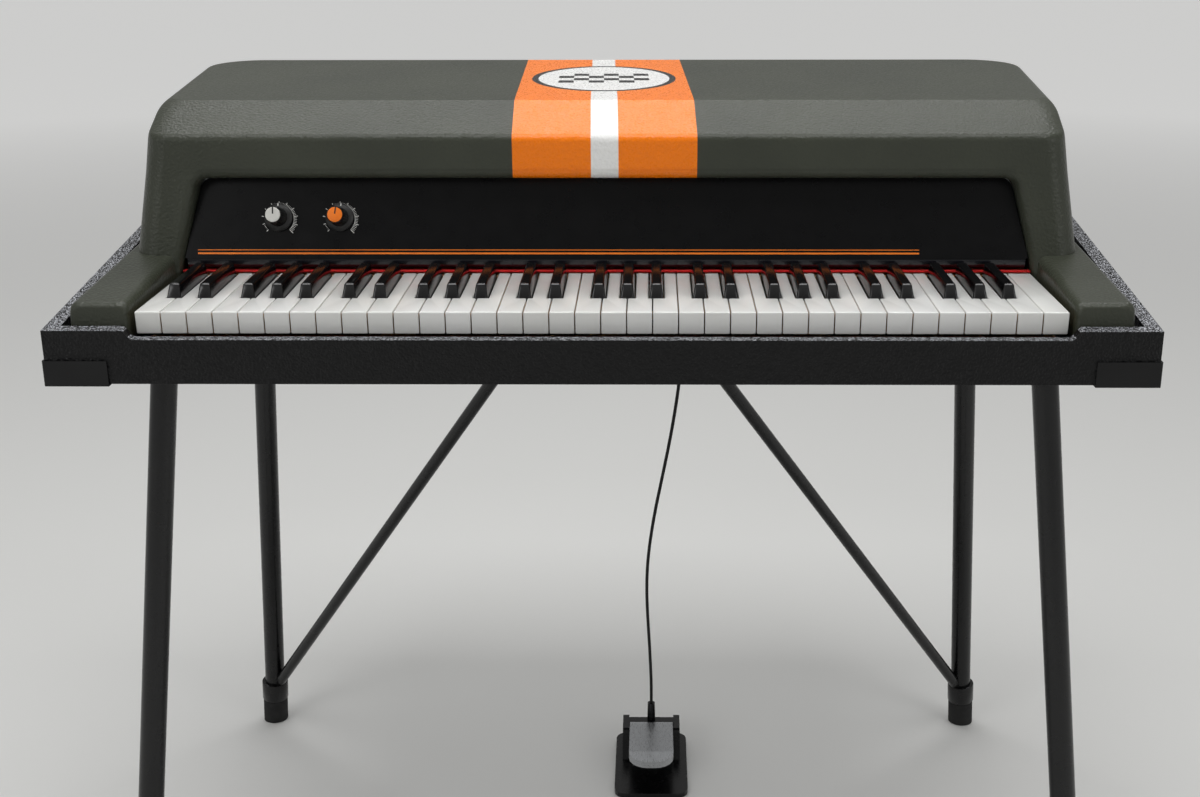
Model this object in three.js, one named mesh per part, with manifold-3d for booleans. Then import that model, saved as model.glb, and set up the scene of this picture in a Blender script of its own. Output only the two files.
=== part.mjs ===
// A 61-key electromechanical piano on four tube legs, in millimetres.
// x runs to the treble end, y from the player to the back, z up.
// The shapes are drawn from the white key tops (z = 0) and their front edges (y = 0);
// the outermost group then stands the instrument on the floor.

import * as THREE from 'three';
import { mergeVertices } from 'three/addons/utils/BufferGeometryUtils.js';
import Module from 'manifold-3d';

const wasm = await Module();
wasm.setup();

const degree = Math.PI / 180;

// Shared fits and cutting
const seat = 0.3;
const overrun = 20;
const weld = 0.0005;

// Keyboard
const whitePitch = 23.5;
const whiteCount = 36;
const whitesPerOctave = 7;
const keyGap = 1;
const whiteHeight = 21;
const headLength = 51;
const keyLength = 350;
const balanceLine = 205;
const blackWidth = 13.2;
const blackTopWidth = 9.2;
const blackHeight = 12.5;
const blackFrontLean = 5.5;
const blackCapLength = 93.5;
const blackCapRoot = 3;
const pedestalWidth = 8;
const pedestalLength = 18;
const pedestalHeight = 8;
const keyDip = 10;
// Sharps lie beside these naturals of an octave, moved off the line between two naturals
const sharpOffset_shares = { 0: -0.11, 1: 0.11, 3: -0.155, 4: 0, 5: 0.155 };
const letters = ['c', 'd', 'e', 'f', 'g', 'a', 'b'];
const octaveNames = ['2', '3', '4', '5', '6', '7'];
const fixedBassOctaveCount = 2;
const playedOctaveCount = 2;

// Key frame
const railHeight = 29;
const railWidth = 30;
const frontRailLine = 30;
const backRailInset = 15;
const crossWidth = 26;
const crossHeight = 14;
const crossPlace_shares = [-0.94, -0.47, 0, 0.47, 0.94];
const punchingLength = 10;
const punchingHeight = 2.7;
const punchingRoot = 0.5;

// Case tray
const cheekWidth = 80.3;
const caseDepth = 581;
const caseFront = -16;
const caseBottom = -63.5;
const caseWall = 14;
const slipWall = 12;
const floorBoard = 10;
const rimFront = -13.6;
const rimRear = 56.6;
const slipTop = -22;
const slipStepInset = 1;
const slipStepRun = 11;
const slipStepPoints = 6;
const ledgeDrop = 14;
const ledgeDepth = 12;
const ledgeWidth = 28;
const cheekBlockInset = 10;
const cheekBlockWidth = 27;
const cheekBlockLength = 150;
const cheekBlockTop = -30;

// Corner protectors
const protectorLength = 59;
const protectorHeight = 22;
const protectorSheet = 1.6;
const protectorReturn = 16;
const protectorCorner = 5;

// Hood
const hoodSkin = 4;
const hoodFrontLine = 157;
const hoodLipHeight = 98;
const hoodFootLean_share = 0.12;
const lowerCreaseHeight = 135;
const upperCreaseLine = 223;
const upperCreaseHeight = 163;
const hoodTopRise = 10;
const hoodRearTop = 539;
const hoodRearFoot = 549;
const hoodRearFootHeight = 20;
const hoodInsetFront = 30.1;
const hoodDraftFront_share = 0.16;
const hoodInsetRear = 13.4;
const hoodDraftRear_share = 0.028;
const hoodFrontStation = 174;
const lowerCreaseRadius = 8;
const upperCreaseRadius = 14;
const hoodEdgeRadius = 13;
const hoodFrontCorner = 24;
const hoodRearCorner = 52;

// Opening in the hood for the name panel
const openingTop = 93;
const openingInset = 21;
const openingDraft_share = 0.235;
const openingCorner = 14;
const openingRoll = 10;
const flangeRear = 182;

// Arms of the hood beside the keys
const armFront = -2;
const armRear = 200;
const armInset = 5;
const armGap = 4.3;
const armOuterDraft_share = 0.05;
const armTopFront = 8;
const armTopRise_share = 0.072;
const armEdge = 8;

// Name panel and its controls
const panelLean = 18 * degree;
const panelFootLine = 150;
const panelFootHeight = 5;
const panelSheet = 4;
const panelGap = 1;
const lipRadius = 9;
const lipCentre = 10.4;
const volumeInset = 97.1;
const dialPitch = 61;
const knobHeight = 50.9;
const knobSkirtRadius = 14;
const knobSkirt = 3;
const knobBodyRadius = 9.6;
const knobTopRadius = 8;
const knobLength = 24.4;
const knobCapRadius = 7.4;
const knobCap = 1;
const knobFlutes = 12;
const knobFlute = 0.7;
const knobClearance = 0.6;
const shaftRadius = 3;
const shaftDepth = 12;
const panelHoleRadius = 3.7;
const potRadius = 8.5;
const potLength = 10;
const boardSheet = 1.6;
const boardMargin = 16;
const feltThickness = 2.2;
const feltWidth = 11.7;
const feltFront = 146.8;
const feltInset = 1;

// Action brackets, hammers and dampers
const bracketInset = 5;
const bracketSheet = 5;
const bracketFoot = 14;
const bracketFootSheet = 5;
const bracketFront = 187;
const bracketRear = 446;
const bracketTop = 100;
const bracketLegLength = 30;
const bracketArch = 6;
const bracketReturn = 52;
const bracketReturnFoot = 12;
const cleatInset = 31;
const cleatWidth = 14;
const cleatBottom = 22;
const cleatTop = 80;
const hammerRailFront = 366;
const hammerRailWidth = 26;
const hammerRailBottom = 20;
const hammerRailTop = 46;
const hammerWidth = 7;
const hammerTop = 84;
const hammerHeadFront = 284;
const hammerHeadRear = 294;
const hammerNeck = 56;
const hammerWaist = 62;
const hammerButt = 44;
const hammerCamBottom = 16;
const hammerCamFront = 336;
const hammerCamRear = 356;
const hammerCamBelly = 34;
const damperLine = 430;
const damperHeight = 56;
const damperBarWidth = 22;
const damperBarHeight = 12;
const damperArmWidth = 4.5;
const damperArmSheet = 3.5;
const damperFeltBottom = 79;
const damperFeltTop = 89;
const damperFeltLength = 10;
const damperPinRadius = 3;
const damperBassLine = 372;
const damperTrebleLine = 304;

// Harp, tone bars and pickups
const harpOverhang = 17;
const harpSide = 18;
const harpThickness = 17.7;
const harpFront = 192;
const harpRear = 445;
const toneRailBass = 235;
const toneRailTreble = 289;
const toneRailWidth = 20;
const toneBarSheet = 6;
const toneBarWidth = 4.4;
const toneBarBass = 205;
const toneBarTreble = 90;
const toneBlock = 8;
const toneBlockSetback = 20.5;
const tineHeight = 91;
const tineSection = 2.4;
const tineBassEnd = 390;
const tineTrebleEnd = 312;
const pickupGap = 2;
const pickupLength = 12;
const pickupWidth = 9;
const pickupBottom = 84;
const pickupRailBottom = 102;
const pickupRailTop = 112;
const pickupRailWidth = 18;

// Legs, feet and braces
const standHeight = 650;
const legRadius = 12.7;
const legWall = 1.6;
const legSides = 12;
const legFrontLine = 60;
const legFrontInset = 84.3;
const legFrontReach = 61;
const legFrontSplay = 64.7;
const legRearLine = 450;
const legRearInset = 81.3;
const legRearReach = 71;
const legRearSplay = 47.2;
const flangeWidth = 96;
const flangeSheet = 4;
const flangeCorner = 12;
const socketRadius = 18;
const socketLength = 16;
const footRadius = 16;
const footHeight = 34;
const footSole = 7;
const braceRadius = 7;
const braceSides = 10;
const braceLine = 200;
const bracePlace = 76;
const braceFootHeight = 48;
const braceSocketRadius = 10.5;
const braceSocketLength = 30;
const bracePlateWidth = 236;
const bracePlateDepth = 56;
const clampWall = 4;
const clampLength = 26;

// Pedal, its cable and the jack
const pedalPlace = 46.5;
const pedalFront = 326;
const pedalRear = 474;
const pedalBaseWidth = 92;
const pedalBaseSheet = 6;
const pedalBaseCorner = 14;
const pedalCheekWidth = 8;
const pedalCheekLength = 34;
const pedalCheekHeight = 42;
const pedalHingeLine = 440;
const pedalHingeHeight = 31;
const pedalPinRadius = 3;
const pedalBoss = 9;
const pedalLeverWidth = 56;
const pedalLeverSheet = 9;
const pedalToeLine = 332;
const pedalToeHeight = 48;
const pedalToeRadius = 24;
const pedalBlockLength = 14;
const ferruleRadius = 6;
const ferruleHeight = 58;
const ferruleLine = 462;
const cableDiameter = 4;
const cableSides = 8;
const cableSteps = 38;
const glandPlace = 84.6;
const glandLine = 402;
const glandNutRadius = 11;
const glandNut = 9;
const glandNoseRadius = 6;
const glandNose = 10;
const glandStemRadius = 8;
const jackInset = 123.3;
const jackHeight = 10;
const jackRadius = 6;
const jackNutRadius = 9.5;
const jackNut = 3.4;
const jackBore = 3.4;
const jackBodyLength = 26;
const jackBodyHalf = 9;

// Cable route from the pedal up to the gland: place, line and height, chosen by hand
const cableRoute = [
  [46.5, 462, -655.2], [46.5, 462, -645], [46.3, 460.5, -625], [45.5, 456, -600],
  [44.3, 450, -570], [42.8, 444.5, -540], [41.4, 439, -510], [40.6, 434, -480],
  [41.2, 429.5, -450], [43.2, 425.5, -422], [46.8, 422, -392], [51.4, 418.5, -362],
  [56.8, 415, -332], [62.4, 412, -302], [67.8, 409.5, -272], [72.6, 407, -242],
  [76.8, 405, -212], [80.2, 403.6, -182], [82.8, 402.6, -152], [84.2, 402.1, -122],
  [84.6, 402, -98], [84.6, 402, -82.8],
];

// Values that follow from the sizes above
const firstPlayedWhite = fixedBassOctaveCount * whitesPerOctave;
const firstFixedTrebleWhite = firstPlayedWhite + playedOctaveCount * whitesPerOctave;
const keyboardHalf = (whiteCount * whitePitch) / 2;
const caseHalf = keyboardHalf + cheekWidth;
const caseRear = caseFront + caseDepth;
const floorTop = caseBottom + floorBoard;
const ground = caseBottom - standHeight;
const slipStepInner = keyboardHalf - slipStepInset;
const slipStepOuter = slipStepInner + slipStepRun;
const cheekBlockFrom = keyboardHalf + cheekBlockInset;
const hoodHalfFront = caseHalf - hoodInsetFront;
const hoodHalfRear = caseHalf - hoodInsetRear;
const openingHalf = keyboardHalf - openingInset;
const armInner = keyboardHalf + armInset;
const armOuter = caseHalf - caseWall - armGap;
const volumePlace = volumeInset - keyboardHalf;
const tonePlace = volumePlace + dialPitch;
const feltHalf = keyboardHalf - feltInset;
const bracketInner = keyboardHalf + bracketInset;
const cleatTo = bracketInner - cleatInset;
const harpHalf = keyboardHalf + harpOverhang;
const legFrontPlace = caseHalf - legFrontInset;
const legRearPlace = caseHalf - legRearInset;
const jackPlace = caseHalf - jackInset;
const rimSlope_share = (rimRear - rimFront) / caseDepth;
const hoodShear_share = hoodTopRise / (hoodRearTop - upperCreaseLine);
const harpBottom = bracketTop + seat;
const harpTop = harpBottom + harpThickness;

// Height of the sloping rim of the tray at a distance from the front
function rimAt(y) {
  return rimFront + (y - caseFront) * rimSlope_share;
}

function ledgeAt(y) {
  return rimAt(y) - ledgeDrop;
}

// Closed solid from a geometry: shared corners are merged and empty facets dropped
function solid(geometry) {
  geometry.deleteAttribute('normal');
  geometry.deleteAttribute('uv');
  const merged = mergeVertices(geometry, weld);
  const index = merged.index.array;
  const faces = [];
  for (let i = 0; i < index.length; i += 3) {
    const [a, b, c] = [index[i], index[i + 1], index[i + 2]];
    if (a !== b && b !== c && c !== a) faces.push(a, b, c);
  }
  const vertProperties = new Float32Array(merged.attributes.position.array);
  const triVerts = new Uint32Array(faces);
  return new wasm.Manifold(new wasm.Mesh({ numProp: 3, vertProperties, triVerts }));
}

function box(x, y, z) {
  const geometry = new THREE.BoxGeometry(x[1] - x[0], y[1] - y[0], z[1] - z[0]);
  geometry.translate((x[0] + x[1]) / 2, (y[0] + y[1]) / 2, (z[0] + z[1]) / 2);
  return solid(geometry);
}

function extrusion(outline, depth) {
  const shape = new THREE.Shape(outline.map(([a, b]) => new THREE.Vector2(a, b)));
  return new THREE.ExtrudeGeometry(shape, { depth, bevelEnabled: false });
}

// Prism along x of a [y, z] outline
function prismX(outline, from, to) {
  const geometry = extrusion(outline, to - from);
  const turn = new THREE.Matrix4().makeBasis(
    new THREE.Vector3(0, 1, 0),
    new THREE.Vector3(0, 0, 1),
    new THREE.Vector3(1, 0, 0),
  );
  geometry.applyMatrix4(turn);
  geometry.translate(from, 0, 0);
  return solid(geometry);
}

// Prism along y of an [x, z] outline
function prismY(outline, from, to) {
  const geometry = extrusion(outline, to - from);
  geometry.rotateX(Math.PI / 2);
  geometry.translate(0, to, 0);
  return solid(geometry);
}

// Prism along z of an [x, y] outline
function prismZ(outline, from, to) {
  const geometry = extrusion(outline, to - from);
  geometry.translate(0, 0, from);
  return solid(geometry);
}

// Round rod or cone between two points
function rod(start, end, startRadius, endRadius, sides) {
  const run = end.clone().sub(start);
  const geometry = new THREE.CylinderGeometry(endRadius, startRadius, run.length(), sides);
  const up = new THREE.Vector3(0, 1, 0);
  geometry.applyQuaternion(new THREE.Quaternion().setFromUnitVectors(up, run.clone().normalize()));
  const middle = start.clone().add(end).multiplyScalar(0.5);
  geometry.translate(middle.x, middle.y, middle.z);
  return solid(geometry);
}

// Disc or ring of revolution about z from a closed [radius, z] profile
function turned(profile, sides) {
  const points = profile.map(([r, z]) => new THREE.Vector2(r, z));
  const geometry = new THREE.LatheGeometry(points, sides);
  geometry.rotateX(Math.PI / 2);
  return facingOut(geometry);
}

function facingOut(geometry) {
  const plain = geometry.index ? geometry.toNonIndexed() : geometry;
  const place = plain.attributes.position;
  const [a, b, c] = [new THREE.Vector3(), new THREE.Vector3(), new THREE.Vector3()];
  let volume = 0;
  for (let i = 0; i < place.count; i += 3) {
    a.fromBufferAttribute(place, i);
    b.fromBufferAttribute(place, i + 1);
    c.fromBufferAttribute(place, i + 2);
    volume += a.dot(b.cross(c));
  }
  if (volume < 0) {
    for (let i = 0; i < place.count; i += 3) {
      a.fromBufferAttribute(place, i);
      b.fromBufferAttribute(place, i + 1);
      place.setXYZ(i, b.x, b.y, b.z);
      place.setXYZ(i + 1, a.x, a.y, a.z);
    }
  }
  return solid(plain);
}

function signedArea(points) {
  return THREE.ShapeUtils.area(points);
}

// Skin over a row of rings that all have the same number of points, closed at both ends
function loft(rings) {
  const size = rings[0].length;
  const points = rings.flat();
  const faces = [];
  for (let r = 0; r + 1 < rings.length; r += 1) {
    for (let i = 0; i < size; i += 1) {
      const next = (i + 1) % size;
      const [a, b] = [r * size + i, r * size + next];
      const [c, d] = [a + size, b + size];
      faces.push(a, b, d, a, d, c);
    }
  }
  const spread = (key) => Math.max(...rings[0].map((p) => p[key])) - Math.min(...rings[0].map((p) => p[key]));
  const [u, v] = ['x', 'y', 'z'].sort((p, q) => spread(q) - spread(p));
  for (const [start, flip] of [[0, true], [(rings.length - 1) * size, false]]) {
    const flat = points.slice(start, start + size).map((p) => new THREE.Vector2(p[u], p[v]));
    const turn = Math.sign(signedArea(flat));
    for (const [i, j, k] of THREE.ShapeUtils.triangulateShape(flat, [])) {
      const same = Math.sign(signedArea([flat[i], flat[j], flat[k]])) === turn;
      const face = same === flip ? [k, j, i] : [i, j, k];
      faces.push(...face.map((n) => n + start));
    }
  }
  const geometry = new THREE.BufferGeometry();
  geometry.setFromPoints(points);
  geometry.setIndex(faces);
  return facingOut(geometry);
}

// Corners of an outline rounded by arcs; a corner of radius zero stays one point
function rounded(corners, radii, steps) {
  const outline = [];
  corners.forEach((corner, i) => {
    const before = corners[(i + corners.length - 1) % corners.length];
    const after = corners[(i + 1) % corners.length];
    const here = new THREE.Vector2(...corner);
    if (radii[i] === 0) {
      outline.push([here.x, here.y]);
      return;
    }
    const back = new THREE.Vector2(...before).sub(here).normalize();
    const on = new THREE.Vector2(...after).sub(here).normalize();
    const half = Math.acos(back.dot(on)) / 2;
    const centre = back.clone().add(on).normalize().multiplyScalar(radii[i] / Math.sin(half)).add(here);
    const reach = radii[i] / Math.tan(half);
    const first = back.multiplyScalar(reach).add(here).sub(centre);
    const last = on.multiplyScalar(reach).add(here).sub(centre);
    const sweep = Math.atan2(first.cross(last), first.dot(last));
    for (let s = 0; s <= steps; s += 1) {
      const point = first.clone().rotateAround(new THREE.Vector2(), (sweep * s) / steps).add(centre);
      outline.push([point.x, point.y]);
    }
  });
  return outline;
}

function rectangle(x, y) {
  return [[x[0], y[0]], [x[1], y[0]], [x[1], y[1]], [x[0], y[1]]];
}

function join(solids) {
  return solids.reduce((sum, next) => sum.add(next));
}

function mirrored(shape) {
  return shape.mirror([1, 0, 0]);
}

const materials = {
  shell: new THREE.MeshStandardMaterial({ color: 0x3a3d34, roughness: 0.55, metalness: 0 }),
  covering: new THREE.MeshStandardMaterial({ color: 0x141416, roughness: 0.75, metalness: 0 }),
  panel: new THREE.MeshStandardMaterial({ color: 0x0a0a0b, roughness: 0.25, metalness: 0 }),
  ivory: new THREE.MeshStandardMaterial({ color: 0xe9e9e6, roughness: 0.3, metalness: 0 }),
  ebony: new THREE.MeshStandardMaterial({ color: 0x101012, roughness: 0.25, metalness: 0 }),
  timber: new THREE.MeshStandardMaterial({ color: 0xc79a63, roughness: 0.7, metalness: 0 }),
  felt: new THREE.MeshStandardMaterial({ color: 0xc4201c, roughness: 0.95, metalness: 0 }),
  steel: new THREE.MeshStandardMaterial({ color: 0xb4b7ba, roughness: 0.35, metalness: 1 }),
  blackSteel: new THREE.MeshStandardMaterial({ color: 0x17181a, roughness: 0.4, metalness: 0.6 }),
  aluminium: new THREE.MeshStandardMaterial({ color: 0xc9ccd0, roughness: 0.4, metalness: 1 }),
  rubber: new THREE.MeshStandardMaterial({ color: 0x0d0d0d, roughness: 0.9, metalness: 0 }),
  plastic: new THREE.MeshStandardMaterial({ color: 0x151515, roughness: 0.5, metalness: 0 }),
  board: new THREE.MeshStandardMaterial({ color: 0x1d5b35, roughness: 0.5, metalness: 0 }),
};

function mesh(name, shape, material) {
  const { numProp, vertProperties, triVerts } = shape.getMesh();
  const geometry = new THREE.BufferGeometry();
  const place = new THREE.Float32BufferAttribute(vertProperties, numProp);
  geometry.setAttribute('position', place);
  geometry.setIndex(Array.from(triVerts));
  geometry.computeVertexNormals();
  const node = new THREE.Mesh(geometry, material);
  node.name = name;
  return node;
}

// Keyboard

function lineBeside(white) {
  return (white + 1) * whitePitch - keyboardHalf;
}

function sharpCentre(white) {
  return lineBeside(white) + sharpOffset_shares[white % whitesPerOctave] * whitePitch;
}

function hasSharp(white) {
  return white >= 0 && white + 1 < whiteCount && white % whitesPerOctave in sharpOffset_shares;
}

function pedestal(centre) {
  return box(
    [centre - pedestalWidth / 2, centre + pedestalWidth / 2],
    [keyLength - pedestalLength, keyLength - seat],
    [-blackCapRoot, pedestalHeight],
  );
}

// Each key: its name, whether it is a sharp, the middle of its tail and its solid
function whiteKey(white) {
  const left = lineBeside(white - 1) + keyGap / 2;
  const right = lineBeside(white) - keyGap / 2;
  const halfCut = blackWidth / 2 + keyGap;
  const tailLeft = hasSharp(white - 1) ? sharpCentre(white - 1) + halfCut : left;
  const tailRight = hasSharp(white) ? sharpCentre(white) - halfCut : right;
  const outline = [[left, 0], [right, 0], [right, headLength]];
  if (tailRight < right) outline.push([tailRight, headLength]);
  outline.push([tailRight, keyLength], [tailLeft, keyLength]);
  if (tailLeft > left) outline.push([tailLeft, headLength]);
  outline.push([left, headLength]);
  if (tailLeft === left) outline.pop();
  const tail = (tailLeft + tailRight) / 2;
  const octave = octaveNames[Math.floor(white / whitesPerOctave)];
  const name = `key_${letters[white % whitesPerOctave]}${octave}`;
  return { name, white, sharp: false, tail, shape: prismZ(outline, -whiteHeight, 0) };
}

function sharpKey(white) {
  const tail = sharpCentre(white);
  const front = headLength + keyGap;
  const capRear = front + blackCapLength;
  const ring = (half, y, z) => rectangle([tail - half, tail + half], [y, capRear])
    .map(([a, b]) => new THREE.Vector3(a, b, z));
  const cap = loft([
    ring(blackWidth / 2, front, -blackCapRoot),
    ring(blackWidth / 2, front, 0),
    ring(blackTopWidth / 2, front + blackFrontLean, blackHeight),
  ]);
  const half = blackWidth / 2;
  const lever = box([tail - half, tail + half], [front, keyLength], [-whiteHeight, -blackCapRoot / 2]);
  const octave = octaveNames[Math.floor(white / whitesPerOctave)];
  const name = `key_${letters[white % whitesPerOctave]}${octave}_sharp`;
  return { name, white, sharp: true, tail, shape: cap.add(lever) };
}

function allKeys() {
  const keys = [];
  for (let white = 0; white < whiteCount; white += 1) {
    keys.push(whiteKey(white));
    if (hasSharp(white)) keys.push(sharpKey(white));
  }
  return keys;
}

const keys = allKeys();
const bassTail = keys[0].tail;
const trebleTail = keys[keys.length - 1].tail;

function isPlayed(key) {
  return key.white >= firstPlayedWhite && key.white < firstFixedTrebleWhite;
}

// Value that runs evenly from the lowest to the highest key
function scaled(key, bass, treble) {
  return bass + ((key.tail - bassTail) / (trebleTail - bassTail)) * (treble - bass);
}

// Three rails on cross pieces; the keys outside the two middle octaves sit fixed on their punchings
function keyFrame() {
  const bottom = floorTop + seat;
  const railEnd = keyboardHalf - keyGap;
  const balanceTop = -whiteHeight - punchingHeight;
  const backTop = -whiteHeight - seat;
  const rails = [
    [frontRailLine, -whiteHeight - keyDip - punchingHeight],
    [balanceLine, balanceTop],
    [keyLength - backRailInset, backTop],
  ].map(([line, top]) => box([-railEnd, railEnd], [line - railWidth / 2, line + railWidth / 2], [bottom, top]));
  const frontEdge = frontRailLine - railWidth / 2 + seat;
  const backEdge = keyLength - backRailInset + railWidth / 2 - seat;
  const crosses = crossPlace_shares.map((share) => {
    const centre = share * keyboardHalf;
    return box([centre - crossWidth / 2, centre + crossWidth / 2], [frontEdge, backEdge], [bottom, bottom + crossHeight]);
  });
  const strip = (from, to, top) => box(
    [from, to],
    [balanceLine - punchingLength / 2, balanceLine + punchingLength / 2],
    [balanceTop - punchingRoot, top],
  );
  const playedFrom = lineBeside(firstPlayedWhite - 1);
  const playedTo = lineBeside(firstFixedTrebleWhite - 1);
  const strips = [
    strip(-railEnd + seat, playedFrom - keyGap, -whiteHeight + punchingRoot),
    strip(playedFrom - keyGap - seat, playedTo + keyGap + seat, -whiteHeight - seat),
    strip(playedTo + keyGap, railEnd - seat, -whiteHeight + punchingRoot),
  ];
  const fixedKeys = keys.filter((key) => !isPlayed(key)).map((key) => key.shape);
  return mesh('key_frame', join([...rails, ...crosses, ...strips, ...fixedKeys]), materials.timber);
}

function playedKeys() {
  return keys.filter(isPlayed).map((key) => {
    const shape = key.shape.add(pedestal(key.tail)).translate([-key.tail, 0, 0]);
    const node = mesh(key.name, shape, key.sharp ? materials.ebony : materials.ivory);
    node.position.x = key.tail;
    return node;
  });
}

// Tray: five boards, a stepped key slip, ledges for the hood and two cheek blocks
function caseTray() {
  const inner = caseHalf - caseWall;
  const slipInner = caseFront + slipWall;
  const rearInner = caseRear - caseWall;
  const body = prismX(
    [[caseFront, caseBottom], [caseRear, caseBottom], [caseRear, rimRear], [caseFront, rimFront]],
    -caseHalf,
    caseHalf,
  );
  const hollow = box([-inner, inner], [slipInner, rearInner], [floorTop, rimRear + overrun]);
  const slipCurve = [];
  const stepTop = rimAt(slipInner);
  for (let i = 0; i <= slipStepPoints; i += 1) {
    const share = i / slipStepPoints;
    const rise = (1 - Math.cos(Math.PI * share)) / 2;
    slipCurve.push([slipStepInner + share * (slipStepOuter - slipStepInner), slipTop + rise * (stepTop - slipTop)]);
  }
  const above = stepTop + overrun;
  const slipOutline = [
    ...slipCurve,
    [slipStepOuter, above],
    [-slipStepOuter, above],
    ...slipCurve.map(([x, z]) => [-x, z]).reverse(),
  ];
  const slipCut = prismY(slipOutline, caseFront - overrun, slipInner);
  const sideLedge = prismX(
    [
      [slipInner - seat, ledgeAt(slipInner) - ledgeDepth],
      [rearInner + seat, ledgeAt(rearInner) - ledgeDepth],
      [rearInner + seat, ledgeAt(rearInner)],
      [slipInner - seat, ledgeAt(slipInner)],
    ],
    inner - ledgeWidth,
    inner + seat,
  );
  const rearLedge = prismX(
    [
      [rearInner - ledgeDepth, ledgeAt(rearInner) - ledgeDepth],
      [rearInner + seat, ledgeAt(rearInner) - ledgeDepth],
      [rearInner + seat, ledgeAt(rearInner)],
      [rearInner - ledgeDepth, ledgeAt(rearInner - ledgeDepth)],
    ],
    -inner + ledgeWidth - seat,
    inner - ledgeWidth + seat,
  );
  const cheekBlock = box(
    [cheekBlockFrom, cheekBlockFrom + cheekBlockWidth],
    [slipInner - seat, slipInner + cheekBlockLength],
    [floorTop - seat, cheekBlockTop],
  );
  const glandHole = rod(
    new THREE.Vector3(glandPlace, glandLine, caseBottom - overrun),
    new THREE.Vector3(glandPlace, glandLine, floorTop + overrun),
    glandStemRadius + seat,
    glandStemRadius + seat,
    legSides,
  );
  const jackHole = rod(
    new THREE.Vector3(jackPlace, rearInner - overrun, jackHeight),
    new THREE.Vector3(jackPlace, caseRear + overrun, jackHeight),
    jackRadius + seat,
    jackRadius + seat,
    legSides,
  );
  const boards = body.subtract(hollow).subtract(slipCut);
  const fitted = join([boards, sideLedge, mirrored(sideLedge), rearLedge, cheekBlock, mirrored(cheekBlock)]);
  return mesh('case_tray', fitted.subtract(glandHole).subtract(jackHole), materials.covering);
}

// Sheet-metal corner that wraps the front, the side and the underside
function cornerProtector(name, side) {
  const inner = [caseHalf + seat, caseFront - seat, caseBottom - seat];
  const outer = inner.map((value, i) => value + (i === 0 ? protectorSheet : -protectorSheet));
  const top = caseBottom + protectorHeight;
  const plan = rounded(
    [
      [outer[0] - protectorLength, outer[1]],
      [outer[0], outer[1]],
      [outer[0], outer[1] + protectorLength],
      [outer[0] - protectorReturn, outer[1] + protectorLength],
      [outer[0] - protectorReturn, outer[1] + protectorReturn],
      [outer[0] - protectorLength, outer[1] + protectorReturn],
    ],
    [0, protectorSheet, 0, protectorCorner, protectorCorner, protectorCorner],
    3,
  );
  const shell = prismZ(plan, outer[2], top);
  const hollow = box(
    [inner[0] - protectorLength - overrun, inner[0]],
    [inner[1], inner[1] + protectorLength + overrun],
    [inner[2], top + overrun],
  );
  const shape = shell.subtract(hollow);
  return mesh(name, side > 0 ? shape : mirrored(shape), materials.blackSteel);
}

// Hood

// A level is a height with the rise of the top taken out
function levelOf(y, z) {
  return z - hoodShear_share * (y - upperCreaseLine);
}

const hoodTopLevel = upperCreaseHeight;
const lowerCreaseLevel = levelOf(hoodFrontLine, lowerCreaseHeight);
const lipLevel = levelOf(hoodFrontLine, hoodLipHeight);
const hoodFloorLevel = caseBottom;

function hoodFrontProfile() {
  const run = hoodRearTop - upperCreaseLine;
  const corners = [
    [hoodFrontLine, lipLevel],
    [hoodFrontLine, lowerCreaseLevel],
    [upperCreaseLine, hoodTopLevel],
    [upperCreaseLine + run, hoodTopLevel],
  ];
  const curve = rounded(corners, [0, lowerCreaseRadius, upperCreaseRadius, 0], 2);
  const foot = hoodFrontLine - hoodFootLean_share * (lipLevel - hoodFloorLevel);
  return [[foot, hoodFloorLevel], ...curve.slice(0, -1)];
}

const frontProfile = hoodFrontProfile();

function hoodFrontAt(level) {
  let [y, z] = frontProfile[0];
  for (const [nextY, nextZ] of frontProfile) {
    if (level <= nextZ) {
      return nextZ === z ? nextY : y + ((level - z) / (nextZ - z)) * (nextY - y);
    }
    [y, z] = [nextY, nextZ];
  }
  return y;
}

function hoodEdgeInset(level) {
  const up = level - (hoodTopLevel - hoodEdgeRadius);
  return up > 0 ? hoodEdgeRadius - Math.sqrt(Math.max(0, hoodEdgeRadius ** 2 - up ** 2)) : 0;
}

function hoodHalfAt(y, level) {
  const front = hoodHalfFront - hoodDraftFront_share * level;
  const rear = hoodHalfRear - hoodDraftRear_share * level;
  return front + ((y - hoodFrontStation) / (hoodRearFoot - hoodFrontStation)) * (rear - front);
}

function hoodRearAt(level) {
  const share = (level - hoodRearFootHeight) / (hoodTopLevel - hoodRearFootHeight);
  return hoodRearFoot + share * (hoodRearTop - hoodRearFoot);
}

// One ring of the hood at a level; the inside is the same form drawn in by the skin
function hoodRing(level, skin, steps) {
  const outer = level + skin;
  const front = hoodFrontAt(outer) + skin;
  const rear = hoodRearAt(outer) - skin - hoodEdgeInset(outer);
  const inset = skin + hoodEdgeInset(outer);
  const halfFront = hoodHalfAt(front, outer) - inset;
  const halfRear = hoodHalfAt(rear, outer) - inset;
  const corners = [[-halfFront, front], [halfFront, front], [halfRear, rear], [-halfRear, rear]];
  const radii = [hoodFrontCorner, hoodFrontCorner, hoodRearCorner, hoodRearCorner].map((r) => r - skin);
  return rounded(corners, radii, steps).map(([x, y]) => (
    new THREE.Vector3(x, y, level + hoodShear_share * (y - upperCreaseLine))
  ));
}

function hoodLevels(arcSteps) {
  const levels = frontProfile.map(([, level]) => level);
  for (let i = 0; i < arcSteps; i += 1) {
    levels.push(hoodTopLevel - hoodEdgeRadius * (1 - Math.sin((i / arcSteps) * (Math.PI / 2))));
  }
  const ordered = levels.sort((a, b) => a - b);
  return ordered.filter((level, i) => i === 0 || level - ordered[i - 1] > keyGap / 2);
}

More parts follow.
